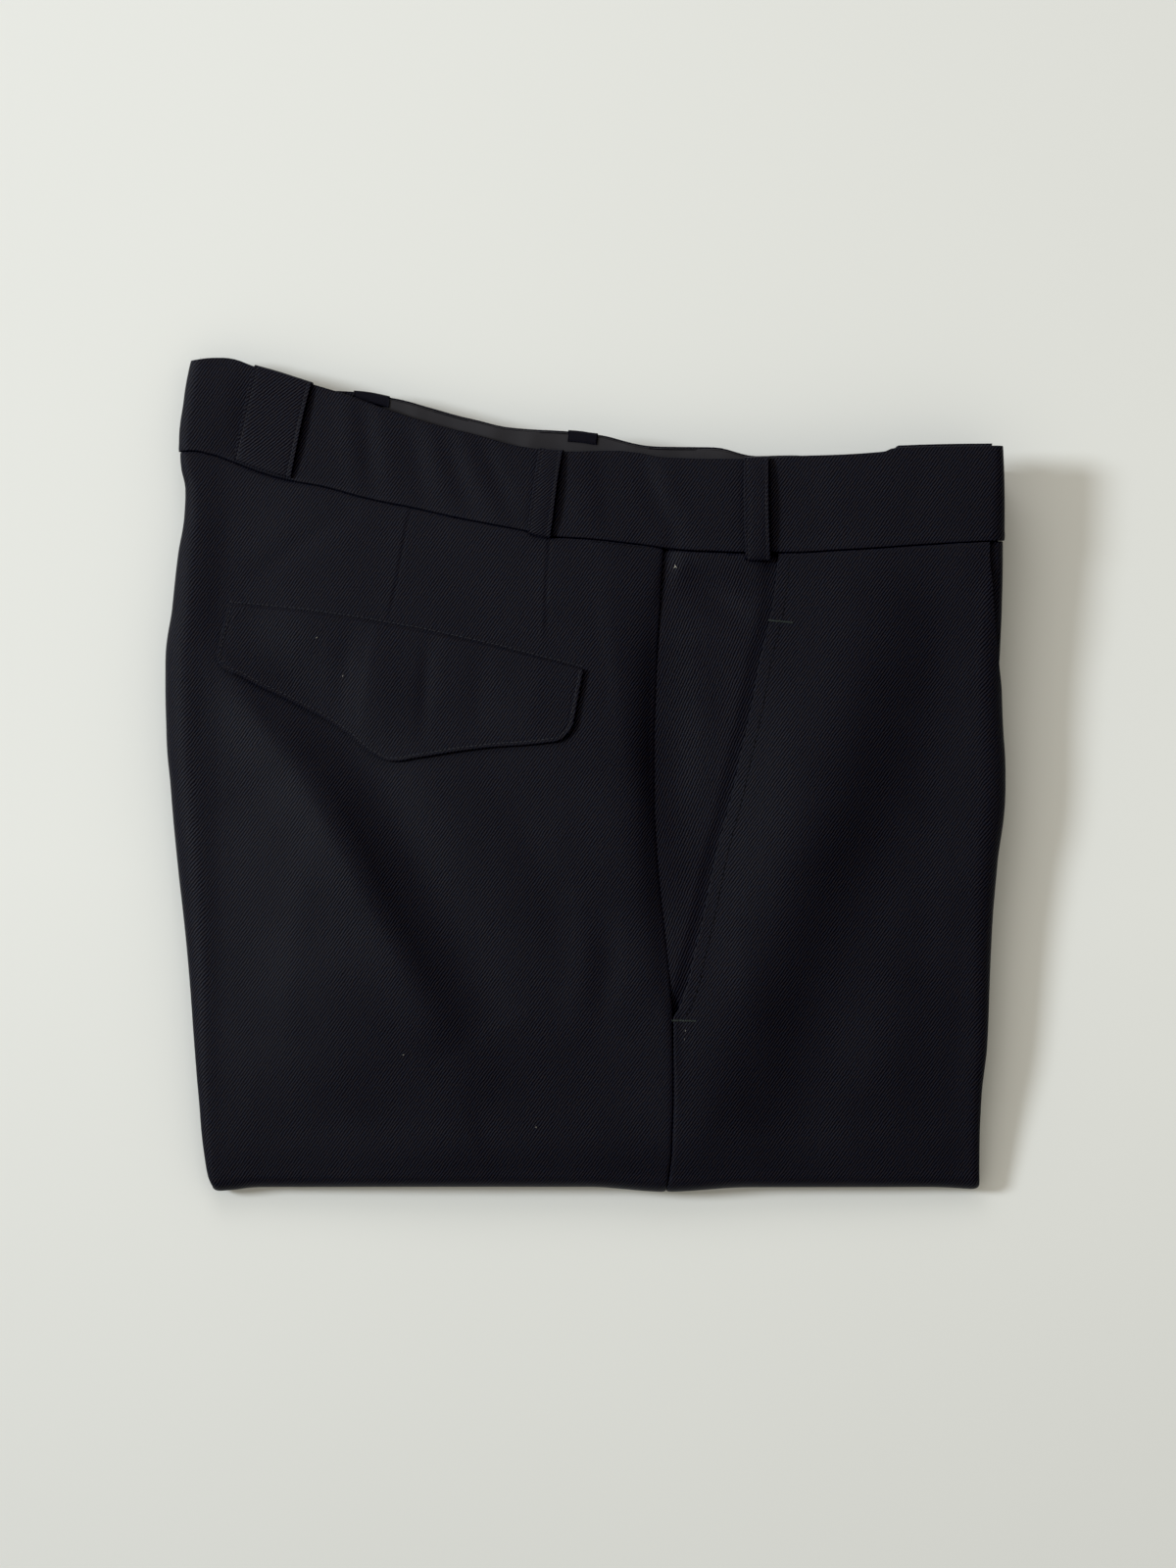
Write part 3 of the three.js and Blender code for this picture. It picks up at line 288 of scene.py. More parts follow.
def edge_frame(p):
    """Edges and rolls of the right leg at p: (seat x, fly x, reach and drop of each)."""
    y = section_y(p)
    under = smooth(-p, -UNDER_FROM - 4, -UNDER_FROM + 26)
    hem = smooth(-p, -HEM_FROM - 8, -HEM_FROM + 20)
    inset_s = under * (1.4 + 0.9 * np.sin(y / 47)) + hem * (1.6 + 0.8 * np.sin(y / 31 + 2))
    inset_f = under * (1.6 + 0.9 * np.sin(y / 53 + 1)) + hem * (1.4 + 0.9 * np.sin(y / 37))
    lip_s = 0.1 * stack_top(seat_edge(y) + 4, y)
    lip_f = 0.1 * stack_top(fly_edge(y) - 4, y)
    return (
        seat_edge(y) + inset_s, fly_edge(y) - inset_f,
        mix(seat_reach(y), 2.6, under), mix(seat_drop(y), lip_s, under),
        mix(fly_reach(y), 2.6, under), mix(fly_drop(y), lip_f, under),
    )


def across(q, p, rolled=True):
    """Across the garment: the x of q, and how far it has dropped below the flat cloth. Past half
    a turn the cloth runs back in under itself."""
    q, p = np.broadcast_arrays(np.asarray(q, float), np.asarray(p, float))
    if not rolled:
        return q, np.zeros(q.shape)
    seat, fly, s_reach, s_deep, f_reach, f_deep = edge_frame(p)
    at_seat = q < (seat + fly) / 2
    reach, deep = np.where(at_seat, s_reach, f_reach), np.where(at_seat, s_deep, f_deep)
    start = np.where(at_seat, seat + s_reach, fly - f_reach)
    out = np.where(at_seat, -1.0, 1.0)
    past = np.maximum((q - start) * out, 0)
    round_ = (reach + deep) / 2
    angle = np.minimum(past / round_, PI)
    back = np.maximum(past - PI * round_, 0)
    x = np.where(past > 0, start + out * (reach * np.sin(angle) - back), q)
    return x, deep * (1 - np.cos(angle))


def at_seat_turn(angle, edges):
    """The q of a point that has turned round the seat edge by an angle."""
    seat, _, reach, deep, _, _ = edges
    return seat + reach - angle * (reach + deep) / 2


def at_fly_turn(angle, edges):
    _, fly, _, _, reach, deep = edges
    return fly - reach + angle * (reach + deep) / 2


def half_turn(start, angle, reach, high, way):
    """Round a fold from its start: y, z and which way is into the cloth. The way is -1 round the
    bottom fold, from the top to the underside, and 1 round the leg fold, back up."""
    sine, cosine = np.sin(angle), np.cos(angle)
    size = np.hypot(sine * high, cosine * reach)
    return (
        start + way * reach * sine, high - way * high * cosine,
        -way * sine * high / size, way * cosine * reach / size,
    )


def down(x, p):
    """Down the garment and round both folds: y, z and which way is into the cloth."""
    x, p = np.broadcast_arrays(x, p)
    end, start = fold_line(x) + FOLD_REACH, leg_fold(x) - LEG_FOLD_REACH
    half, high = height(x, end) / 2, 0.4 * stack_top(x, start)
    per_a, per_b = (FOLD_REACH + half) / 2, (LEG_FOLD_REACH + high) / 2   # mm for each radian
    angle_a = (end - p) / per_a
    y_under = end + (angle_a - PI) * per_a
    angle_b = (y_under - start) / per_b
    y_hem = start - (angle_b - PI) * per_b
    under = angle_a >= PI
    stretches = [
        (angle_a <= 0, (p, height(x, np.maximum(p, end)), 0, -1)),
        (~under, half_turn(end, angle_a, FOLD_REACH, half, -1)),
        (under & (angle_b <= 0), (y_under, 0, 0, 1)),
        (angle_b < PI, half_turn(start, angle_b, LEG_FOLD_REACH, high, 1)),
        (under, (y_hem, 0.8 * stack_top(x, y_hem), 0, -1)),
    ]
    places, values = zip(*stretches)
    return [np.select(places, column, 0.0) for column in zip(*values)]


def face_point(q, p, rolled):
    x, drop = across(q, p, rolled)
    y, z, in_y, in_z = down(x, p)
    return np.stack([x, y + in_y * drop, z + in_z * drop], -1)


def unit(v):
    return v / np.maximum(np.linalg.norm(v, axis=-1, keepdims=True), 1e-9)


def laid(q, p, lift=0.0, rolled=True):
    """Points on the laid cloth: q across it, p down it, lift out of its outer face."""
    q, p = np.broadcast_arrays(np.asarray(q, float), np.asarray(p, float))
    along_x = face_point(q + 0.4, p, rolled) - face_point(q - 0.4, p, rolled)
    along_y = face_point(q, p + 0.4, rolled) - face_point(q, p - 0.4, rolled)
    normal = unit(np.cross(along_x, along_y))
    return face_point(q, p, rolled) + normal * np.asarray(lift)[..., None]


# ---- Meshes ----


def add(name, data):
    """A new object in the scene."""
    thing = bpy.data.objects.new(name, data)
    bpy.context.scene.collection.objects.link(thing)
    return thing


def make(name, points, faces, uv, material):
    mesh = bpy.data.meshes.new(name)
    mesh.from_pydata((points * MM).tolist(), [], faces)
    if uv is not None:
        layer = mesh.uv_layers.new(name="cloth")
        loops = np.empty(len(mesh.loops), np.int32)
        mesh.loops.foreach_get("vertex_index", loops)
        layer.data.foreach_set("uv", (uv[loops] * MM).astype(np.float32).ravel())
    mesh.polygons.foreach_set("use_smooth", [True] * len(mesh.polygons))
    mesh.materials.append(material)
    mesh.update()
    return add(name, mesh)


def rim_of(columns_, rows):
    rim = [(i, 0) for i in range(columns_ - 1)]
    rim += [(columns_ - 1, j) for j in range(rows - 1)]
    rim += [(i, rows - 1) for i in range(columns_ - 1, 0, -1)]
    return rim + [(0, j) for j in range(rows - 1, 0, -1)]


EDGE_ROUND = 0.3   # how far the middle of a cloth's edge stands past its faces


def shell(outer, inner, uv):
    """A closed thin wall between two grids of points, its edge rounded as turned cloth is."""
    wide, deep = outer.shape[:2]
    rim = np.array(rim_of(wide, deep))
    i, j = rim[:, 0], rim[:, 1]
    mid = (outer + inner) / 2
    normal = unit(outer - inner)[i, j]
    half = np.linalg.norm(outer - inner, axis=-1)[i, j][:, None] / 2
    toward = np.zeros((len(rim), 3))
    for near_i, near_j, here in (
        (np.minimum(i + 1, wide - 1), j, i == 0), (np.maximum(i - 1, 0), j, i == wide - 1),
        (i, np.minimum(j + 1, deep - 1), j == 0), (i, np.maximum(j - 1, 0), j == deep - 1),
    ):
        toward += np.where(here[:, None], unit(mid[i, j] - mid[near_i, near_j]), 0)
    toward = unit(toward - (toward * normal).sum(-1, keepdims=True) * normal)
    pull = np.minimum(half, EDGE_ROUND)
    outer, inner = outer.copy(), inner.copy()
    outer[i, j] -= toward * pull
    inner[i, j] -= toward * pull
    middle = mid[i, j] - toward * pull
    rings = [
        middle + toward * pull * math.cos(a) + normal * half * math.sin(a)
        for a in (PI / 4, 0, -PI / 4)
    ]
    points = np.concatenate([outer.reshape(-1, 3), inner.reshape(-1, 3), *rings])
    grid = np.arange(wide * deep).reshape(wide, deep)
    quads = np.stack([grid[:-1, :-1], grid[1:, :-1], grid[1:, 1:], grid[:-1, 1:]], -1).reshape(-1, 4)
    faces = [quads, quads[:, ::-1] + wide * deep]
    first = 2 * wide * deep
    lines = [grid[i, j], *(first + k * len(rim) + np.arange(len(rim)) for k in range(3)),
             grid[i, j] + wide * deep]
    for above, below in zip(lines, lines[1:]):
        faces.append(np.stack([above, below, np.roll(below, -1), np.roll(above, -1)], -1))
    faces = np.concatenate(faces)
    flat_uv = uv.reshape(-1, 2)
    all_uv = np.concatenate([flat_uv, flat_uv, *[uv[i, j]] * 3])
    return points, outward(points, faces), all_uv


def outward(points, faces):
    """Quads as a list, turned over where they would face inwards."""
    a, b, c, d = (points[faces[:, k]] for k in range(4))
    volume = (np.cross(b, c) * a).sum() + (np.cross(c, d) * a).sum()
    return (faces[:, ::-1] if volume < 0 else faces).tolist()


def skins(q, p, outside, inside, rolled=True):
    """The outer and inner grid of a cloth, by how far each is lifted, and its flat coordinates."""
    return laid(q, p, outside, rolled), laid(q, p, inside, rolled), np.stack([q, p], -1)


def cloth(name, material, outer, inner, uv, node=None, slot="wool_twill"):
    piece = make(name, *shell(outer, inner, uv), material)
    return placed(piece, node)


def placed(piece, node):
    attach(piece, "root")
    if node:
        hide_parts(*([node] if isinstance(node, str) else node))
    return piece


# ---- Materials ----


def link(tree, a, b):
    tree.links.new(a, b)


def math_node(tree, kind, a, b=None, c=None):
    node = tree.nodes.new("ShaderNodeMath")
    node.operation = kind
    for k, value in enumerate((a, b, c)):
        if value is None:
            continue
        if isinstance(value, (int, float)):
            node.inputs[k].default_value = value
        else:
            link(tree, value, node.inputs[k])
    return node.outputs[0]


def weighed(tree, a, share_a, b, share_b):
    return math_node(tree, "ADD", math_node(tree, "MULTIPLY", a, share_a),
                     math_node(tree, "MULTIPLY", b, share_b))


def split_xyz(tree, vector):
    node = tree.nodes.new("ShaderNodeSeparateXYZ")
    link(tree, vector, node.inputs[0])
    return node.outputs


def cloth_uv(tree):
    """The cloth's own flat coordinates."""
    node = tree.nodes.new("ShaderNodeUVMap")
    node.uv_map = "cloth"
    return node.outputs["UV"]


def tinted(colour, *shares):
    """A colour made lighter or darker, or each of its channels by a share of its own."""
    shares = shares * 3 if len(shares) == 1 else shares
    return tuple(c * k for c, k in zip(colour, shares))


def bumped(tree, bsdf, height_, strength, distance):
    node = tree.nodes.new("ShaderNodeBump")
    node.inputs["Strength"].default_value = strength
    node.inputs["Distance"].default_value = distance
    link(tree, height_, node.inputs["Height"])
    link(tree, node.outputs["Normal"], bsdf.inputs["Normal"])


def shader(name, roughness, sheen, specular, sheen_tint, sheen_rough=0.5):
    mat = bpy.data.materials.new(name)
    mat.use_nodes = True
    bsdf = mat.node_tree.nodes["Principled BSDF"]
    bsdf.inputs["Roughness"].default_value = roughness
    bsdf.inputs["Specular IOR Level"].default_value = specular
    bsdf.inputs["Sheen Weight"].default_value = sheen
    bsdf.inputs["Sheen Roughness"].default_value = sheen_rough
    bsdf.inputs["Sheen Tint"].default_value = (*sheen_tint, 1)
    return mat, mat.node_tree, bsdf


def noise(tree, vector, scale, detail=2.0, rough=0.5):
    node = tree.nodes.new("ShaderNodeTexNoise")
    node.inputs["Scale"].default_value = scale
    node.inputs["Detail"].default_value = detail
    node.inputs["Roughness"].default_value = rough
    link(tree, vector, node.inputs["Vector"])
    return node.outputs["Fac"]


def ramp(tree, fac, stops):
    node = tree.nodes.new("ShaderNodeValToRGB")
    while len(node.color_ramp.elements) < len(stops):
        node.color_ramp.elements.new(0.5)
    for element, (at, colour) in zip(node.color_ramp.elements, stops):
        element.position = at
        element.color = (*colour, 1)
    link(tree, fac, node.inputs["Fac"])
    return node.outputs["Color"]


# The weave: ribs this far apart in mm, their rise across the cloth, and how far they wander in m.
RIB_PITCH, RIB_SLOPE, RIB_WANDER = 1.464, 0.72, 0.0009
BLACK, WHITE = (0, 0, 0), (1, 1, 1)


def twill(name, base):
    """Wool serge: fine diagonal ribs in the cloth's own coordinates, with yarn across them, a
    slight melange and a matt nap."""
    mat, tree, bsdf = shader(name, 0.5, 0.02, 0.08, (0.75, 0.8, 1.0))
    uv = cloth_uv(tree)
    split = split_xyz(tree, uv)
    slope = math_node(tree, "MULTIPLY", split["Y"], -RIB_SLOPE)
    along = math_node(tree, "ADD", split["X"], slope)
    along = math_node(tree, "MULTIPLY_ADD", noise(tree, uv, 260, 2), RIB_WANDER, along)
    turns = math_node(tree, "MULTIPLY", along, 2 * PI / (RIB_PITCH * MM))
    rib = math_node(tree, "MULTIPLY_ADD", math_node(tree, "SINE", turns), 0.5, 0.5)
    high = weighed(tree, rib, 0.7, noise(tree, uv, 1250, 2, 0.6), 0.7)
    shade = weighed(tree, high, 0.66, noise(tree, uv, 30, 3), 0.1)
    dark, mid, light = (tinted(base, k) for k in (0.3, 0.98, 2.05))
    cool, warm = tinted(light, 0.8, 1.0, 1.05), tinted(light, 1.2, 1.08, 0.8)
    fleck = ramp(tree, noise(tree, uv, 560, 1), [(0.4, cool), (0.6, warm)])
    mixed = tree.nodes.new("ShaderNodeMix")
    mixed.data_type = "RGBA"
    link(tree, ramp(tree, shade, [(0.52, BLACK), (0.76, WHITE)]), mixed.inputs[0])
    link(tree, ramp(tree, shade, [(0.28, dark), (0.52, mid)]), mixed.inputs[6])
    link(tree, fleck, mixed.inputs[7])
    link(tree, mixed.outputs[2], bsdf.inputs["Base Color"])
    gloss = ramp(tree, shade, [(0.3, tinted(WHITE, 0.045)), (0.75, tinted(WHITE, 0.118))])
    link(tree, gloss, bsdf.inputs["Specular IOR Level"])
    bumped(tree, bsdf, high, 0.6, 0.0003)
    return mat


def satin(name, base):
    mat, tree, bsdf = shader(name, 0.45, 0.02, 0.13, (0.9, 0.9, 1.0), 0.3)
    uv = cloth_uv(tree)
    stretch = tree.nodes.new("ShaderNodeMapping")
    stretch.inputs["Scale"].default_value = (1, 9, 1)
    link(tree, uv, stretch.inputs["Vector"])
    fine = noise(tree, stretch.outputs["Vector"], 900, 2)
    shade = weighed(tree, fine, 0.5, noise(tree, uv, 40, 3), 0.5)
    stops = [(0.25, tinted(base, 0.75)), (0.75, tinted(base, 1.3))]
    link(tree, ramp(tree, shade, stops), bsdf.inputs["Base Color"])
    bumped(tree, bsdf, shade, 0.25, 0.0002)
    return mat


def fibre(name, base, roughness):
    mat, tree, bsdf = shader(name, roughness, 0.02, 0.1, WHITE)
    place = tree.nodes.new("ShaderNodeTexCoord")
    fine = noise(tree, place.outputs["Object"], 1500, 2)
    stops = [(0.3, tinted(base, 0.7)), (0.7, tinted(base, 1.3))]
    link(tree, ramp(tree, fine, stops), bsdf.inputs["Base Color"])
    return mat


NAVY = (0.0064, 0.0060, 0.0106)
twill_panel = twill("wool_twill", NAVY)
twill_band = twill("wool_twill_band", NAVY)
lining_satin = satin("lining_satin", (0.022, 0.021, 0.025))
# Navy thread whose colour is darker than the cloth: the shade of the stitch holes is painted into it.
thread_dark_hole_shade = fibre("thread_navy", (0.0035, 0.0035, 0.005), 0.7)
thread_bright = fibre("thread_navy_glossy", (0.026, 0.026, 0.032), 0.5)
thread_tack = fibre("thread_bar_tack", (0.028, 0.034, 0.033), 0.6)
fibre_pale = fibre("fibre_pale", (0.42, 0.40, 0.36), 0.8)

# ---- Panels ----

# The right leg's outer half is one length of cloth from the waist to the hem. Its hidden thirds
# have wider rows.
TOP_ROWS, TURN_ROWS, UNDER_ROWS = 168, 16, 40
# A panel's columns round its edge: the angle turned, and how far the cloth runs on past it.
TURNS = [(PI, 14.0), (PI, 9.0), (PI, 4.0)] + [(PI * k / 12, 0.0) for k in range(12, -1, -1)]


def panel_rows(x):
    """The p of each row, for columns whose x at the waist seam is x."""
    top = waist_seam(x)[:, None] - SEAM_GAP / 2
    end = (fold_line(x) + FOLD_REACH)[:, None]
    upper = mix(top, end, np.linspace(0, 1, TOP_ROWS)[None])
    rest = np.concatenate([
        np.linspace(FOLD_A, UNDER_FROM, TURN_ROWS)[1:],
        np.linspace(UNDER_FROM, UNDER_TO, UNDER_ROWS)[1:],
        np.linspace(UNDER_TO, HEM_FROM, 9)[1:],
        np.linspace(HEM_FROM, HEM_END, UNDER_ROWS)[1:],
    ])
    rest = np.broadcast_to(rest[None], (len(x), len(rest)))
    return np.concatenate([upper, rest + (end - FOLD_A)], 1)


def own(grid):
    """Each column's own values, where a grid has every column at every column's rows."""
    each = np.arange(len(grid))
    return grid[each, each]


def settled(columns_at, line, count, rolled=True):
    """The x at which each column meets a line across the garment."""
    x = np.zeros(count)
    for _ in range(8):
        y = line(x)
        x = np.diagonal(across(columns_at(y), y, rolled)[0])
    return x


def side_seam(p):
    y = section_y(p)
    lower = smooth(-p, -EDGE_FOOT, -UNDER_TO)
    return side_seam_top(y) * (1 - lower) + 30 * lower


def back_columns(p, shares):
    """q of each column at p: the roll with its return, then the flat of the panel."""
    edges = edge_frame(p)
    start, end = edges[0] + edges[2], side_seam(p) - SEAM_GAP / 2
    rolled = [at_seat_turn(a, edges) - extra for a, extra in TURNS]
    return np.stack([*rolled, *(mix(start, end, s) for s in shares)])


def fly_side_edge(p):
    """The q at which the right front ends, beside the fly."""
    y, edges = section_y(p), edge_frame(p)
    turned = np.radians(fly_turned(y))
    return np.where(turned > 0, at_fly_turn(turned, edges), edges[1] - edges[4] - fly_across(y))


def front_columns(p, shares):
    y = section_y(p)
    mouth = np.where(p > POCKET_FOOT, pocket_mouth(y), side_seam(p))
    edges = edge_frame(p)
    at_waist = p > FLY_END
    level = edges[1] - edges[4] - np.where(at_waist, fly_across(y), 0)
    turned = np.radians(np.where(at_waist, fly_turned(y), 180.0))
    full = turned / PI
    last = np.where(turned > 0, at_fly_turn(turned, edges), level)
    end = level - 3 * (1 - full)
    returned = np.where(at_waist, smooth(y, 26, -10), 1.0)
    flat = [mix(mouth + SEAM_GAP / 2, end, s) for s in shares]
    rolled = [mix(end, last, a / PI) + extra * returned for a, extra in reversed(TURNS)]
    return np.stack([*flat, *rolled])




def shares_with(count, dense=()):
    """Shares from 0 to 1, closer together inside each dense (start, end) stretch."""
    at = np.linspace(0, 1, 4001)
    weight = np.ones(at.shape)
    for start, end in dense:
        weight += 2.4 * ((at > start) & (at < end))
    total = np.cumsum(weight)
    total = (total - total[0]) / (total[-1] - total[0])
    return np.interp(np.linspace(0, 1, count), total, at)


def panel(node, columns_at, count, lift):
    p = panel_rows(settled(columns_at, waist_seam, count))
    q = own(columns_at(p))
    outside = lift(q, p)
    thick = mix(CLOTH, HIDDEN_CLOTH, smooth(-p, 190, 230))
    return cloth(node + "_cloth", twill_panel, *skins(q, p, outside, outside - thick), node)


DARTS = [
    [(-78.8, 124), (-81, 117), (-86, 88.2), (-90.2, 69)],
    [(-16, 111), (-17.6, 86), (-18.0, 55)],
]
BACK_RELIEF = [
    ("ridge", -0.35, (1.2, 7), [(5, 84), (6.5, 72), (9, 58), (11.5, 40), (13.5, 14)]),
    ("ridge", 0.35, 7, [(-120, -20), (-132, -70), (-138, -130)]),
    ("ridge", -0.4, 9, [(-40, 0), (-20, -40), (-2, -90)]),
]
FRONT_RELIEF = [
    ("ridge", 0.9, 20, [(96, 46), (92, 10), (84, -30)]),
    ("ridge", 0.35, 12, [(172, 40), (172, -20), (170, -80)]),
    ("ridge", -0.3, 9, [(160, -20), (157, -80), (152, -140)]),
    ("ridge", 0.4, 8, [(70, -70), (82, -120), (90, -165)]),
]


def ditch(path, x, y, deep, wide):
    away, side, share, _ = nearest(path, x, y)
    ends = smooth(share, 0, 0.04) * smooth(share, 1.0, 0.8)
    return -deep * ends * np.exp(-((away / wide) ** 2)) + 0.3 * ends * (side < 0) * np.exp(-away / 4)


def back_lift(q, p):
    top = smooth(p, -186, -170)
    total = relief(BACK_RELIEF, q, p) * top
    for dart in DARTS:
        total += ditch(dart, q, p, 0.3, 0.5)
    edge = side_seam(p) - q
    by_pocket = smooth(p, POCKET_FOOT - 6, POCKET_FOOT + 25) * (1 - 0.6 * smooth(p, 40, 90))
    total -= 1.3 * np.exp(-((np.maximum(edge, 0) / 5.0) ** 2)) * by_pocket
    return total - 0.5 * np.exp(-np.maximum(edge, 0) / 0.8)


def front_lift(q, p):
    top = smooth(p, -186, -170)
    total = relief(FRONT_RELIEF, q, p) * top
    total += 0.5 * smooth(q, 158, 176) * smooth(p, 22, 42)
    seam = q - side_seam(p)
    return total - 0.5 * np.exp(-np.maximum(seam, 0) / 0.8) * (p < POCKET_FOOT)


back_shares = shares_with(118, [(0.36, 0.46), (0.69, 0.76), (0.985, 1.0)])[1:]
front_shares = shares_with(62, [(0, 0.03)])[:-1]
back = panel(
    "back_panel_right", lambda y: back_columns(y, back_shares), len(back_shares) + len(TURNS), back_lift
)
front = panel(
    "front_panel_right", lambda y: front_columns(y, front_shares), len(front_shares) + len(TURNS),
    front_lift,
)


def strip():
    """The left front, which shows past the right front's fly edge."""
    count, rows = 22, 34
    turns = [(0, 0)] + [(PI * k / 10, 0.0) for k in range(1, 11)] + [(PI, 5.0), (PI, 10.0)]

    def columns_at(p):
        edges = edge_frame(p)
        level = edges[1] - edges[4]
        flat = [level - fly_across(section_y(p)) - 4 + 4 * k / 9 for k in range(9)]
        flat = [np.minimum(x, level - 0.1 * (9 - k)) for k, x in enumerate(flat)]
        return np.stack([*flat, *(at_fly_turn(a, edges) + extra for a, extra in turns)])

    top = waist_seam(settled(columns_at, waist_seam, count)) - SEAM_GAP / 2
    p = mix(top[:, None], 18.0, np.linspace(0, 1, rows)[None])
    q = own(columns_at(p))
    past = q - fly_side_edge(p)
    sunk = 1.5 - 1.2 * smooth(past, 0.6, 4.0) * smooth(p, 36, 60)
    return cloth("front_panel_left_cloth", twill_panel, *skins(q, p, -sunk, -sunk - 1.0),
                 "front_panel_left")


left_front = strip()

# ---- Side pocket facing ----

FACING_RELIEF = [
    ("ridge", -1.0, (6, 7), [(44, 98), (58, 84), (78, 66)]),
    ("ridge", 0.5, 8, [(50, 60), (54, 20), (50, -30)]),
]


def facing():
    rows, count = 130, 34
    y = mix(waist_seam(60) + 1, POCKET_FOOT - 6, np.linspace(0, 1, rows))[None]
    q = mix(side_seam_top(y) - 2, pocket_mouth(y) + 9, np.linspace(0, 1, count)[:, None])
    p = np.minimum(y + 0 * q, waist_seam(q) - 0.2)
    open_ = smooth(q, side_seam_top(p) + 1, side_seam_top(p) + 9) * smooth(pocket_mouth(p) - q, -1, 10)
    bulge = relief(FACING_RELIEF, q, p) * open_ - 2.0
    bulge += 1.8 * smooth(waist_seam(q) - p, 22, 2) * smooth(pocket_mouth(p) - q, 0, 6) * open_
    bulge -= 0.9 * smooth(q - pocket_mouth(p), -7, -1) * smooth(waist_seam(q) - p, 4, 30)
    return cloth("pocket_facing_right_cloth", twill_panel, laid(q, p, bulge), laid(q, p, bulge - 1.0),
                 np.stack([q * 0.97 + p * 0.2, p * 0.97 - q * 0.2], -1), "pocket_facing_right")


pocket_facing = facing()

# ---- Back pocket flap ----

FLAP_ABOVE, FLAP_THICK = 0.8, 1.4
FLAP_FOLLOWS = 0.6   # the share of the panel's own relief that shows through the flap
FLAP_RELIEF = [
    ("ridge", 0.5, (14, 18), [(-134, 76), (-134, 60), (-132, 44)]),
    ("ridge", -0.4, (4, 5), [(-106, 70), (-109, 50), (-112, 26)]),
    ("ridge", 0.5, (14, 4), [(-93, 72), (-97, 50), (-101, 14)]),
    ("ridge", -0.5, (4, 3), [(-71, 62), (-72.5, 44), (-74, 18)]),
    ("ridge", -0.35, 6, [(-46, 58), (-48, 40), (-49, 16)]),
    ("ridge", 0.4, (7, 12), [(-20, 50), (-24, 36), (-28, 16)]),
]
flap_top_x, flap_top_y = curve(FLAP_TOP, "share", "x"), curve(FLAP_TOP, "share", "y")
flap_foot_x, flap_foot_y = curve(FLAP_FOOT, "share", "x"), curve(FLAP_FOOT, "share", "y")


def flap_outline(top=False, count=400):
    """The flap's edge as (x, y) points: its top, or its left side, foot and right side."""
    share = np.linspace(0, 1, count)
    top_line = np.stack([flap_top_x(share), flap_top_y(share)], -1)
    if top:
        return top_line
    foot = np.stack([flap_foot_x(share), flap_foot_y(share)], -1)
    return np.concatenate([top_line[:1], foot, top_line[-1:]])


flap_edge = flap_outline()
rough_edge = [*flap_edge[::4], flap_edge[-1]]


def flap_lift(x, y):
    """How far the flap's face stands off the panel: ripples, a puffed edge, a stitched groove."""
    edge = nearest(rough_edge, x, y)[0]
    ripples = relief(FLAP_RELIEF, x, y) * (0.35 + 0.65 * smooth(edge, 0, 9))
    puff = 0.1 * np.exp(-((edge - 0.9) / 0.8) ** 2) - 0.2 * np.exp(-((edge - 2.0) / 0.55) ** 2)
    return FLAP_ABOVE + FLAP_THICK + ripples + puff


def flap():
    count, rows = 150, 46
    share = np.linspace(0, 1, count)[:, None]
    t = np.linspace(0, 1, rows)[None]
    t = t - 0.036 * np.sin(2 * PI * t)
    x = mix(flap_top_x(share), flap_foot_x(share), t)
    y = mix(flap_top_y(share), flap_foot_y(share), t)
    lift = flap_lift(x, y)
    panel_below = back_lift(x, y) * FLAP_FOLLOWS
    grids = skins(x, y, lift + panel_below, lift - FLAP_THICK + panel_below)
    return cloth("pocket_flap_right_cloth", twill_panel, *grids, "pocket_flap_right")


pocket_flap = flap()

# ---- Waistbands ----

BAND_RELIEF = [
    ("ridge", 0.45, (4, 5), [(-110, 180), (-107.5, 156), (-105, 132)]),
    ("ridge", -0.5, 3.5, [(-102, 176), (-99, 151), (-97, 128)]),
    ("ridge", 0.35, (4, 5), [(-94, 172), (-90, 148), (-86, 124)]),
    ("ridge", -0.4, 4, [(-82, 168), (-77, 145), (-72, 120)]),
    ("ridge", 0.35, (4, 5), [(-72, 165), (-67, 143), (-60, 119)]),
    ("ridge", -0.4, 3.5, [(-65, 162), (-59, 140), (-50, 117)]),
    ("ridge", 0.35, (4, 5), [(-58, 160), (-50, 140), (-39, 114)]),
    ("ridge", -0.5, 3.5, [(-48, 158), (-41, 138), (-30, 112)]),
    ("ridge", 0.35, 6, [(-8, 152), (-4, 132), (2, 108)]),
    ("ridge", -0.55, (3.5, 5), [(25, 150), (31, 131), (41, 108)]),
    ("ridge", 0.3, (6, 5), [(34, 150), (40, 131), (52, 104)]),
    ("ridge", 0.3, 9, [(112, 147), (114, 128), (118, 106)]),
    ("ridge", -0.3, 4, [(189, 152), (188.5, 128), (188, 108)]),
    ("flank", 0.6, 12, [(-158, 190), (-162, 168), (-166, 146)]),
]


def band(columns_at, count, foot, top, rows, outside, inside, rolled):
    """A band between its foot and its top edge: outer and inner grids, and its q and p."""
    low, high = (line(settled(columns_at, line, count, rolled)) for line in (foot, top))
    t = np.linspace(0, 1, rows)
    t = 0.5 - 0.5 * np.cos(PI * t) * (0.35 + 0.65 * np.abs(np.cos(PI * t)) ** 0.5)
    t = (t - t[0]) / (t[-1] - t[0])
    p = mix(low[:, None], high[:, None], t[None])
    q = own(columns_at(p))
    return skins(q, p, outside(q, p), inside(q, p), rolled)


def band_columns(shares, seat_turns, fly_turns):
    def columns_at(p):
        edges = edge_frame(p)
        start, end = edges[0] + edges[2], edges[1] - edges[4]
        return np.stack([
            *(at_seat_turn(a, edges) for a in seat_turns),
            *(mix(start, end, s) for s in shares),
            *(at_fly_turn(a, edges) for a in fly_turns),
        ])
    return columns_at, len(seat_turns) + len(shares) + len(fly_turns)


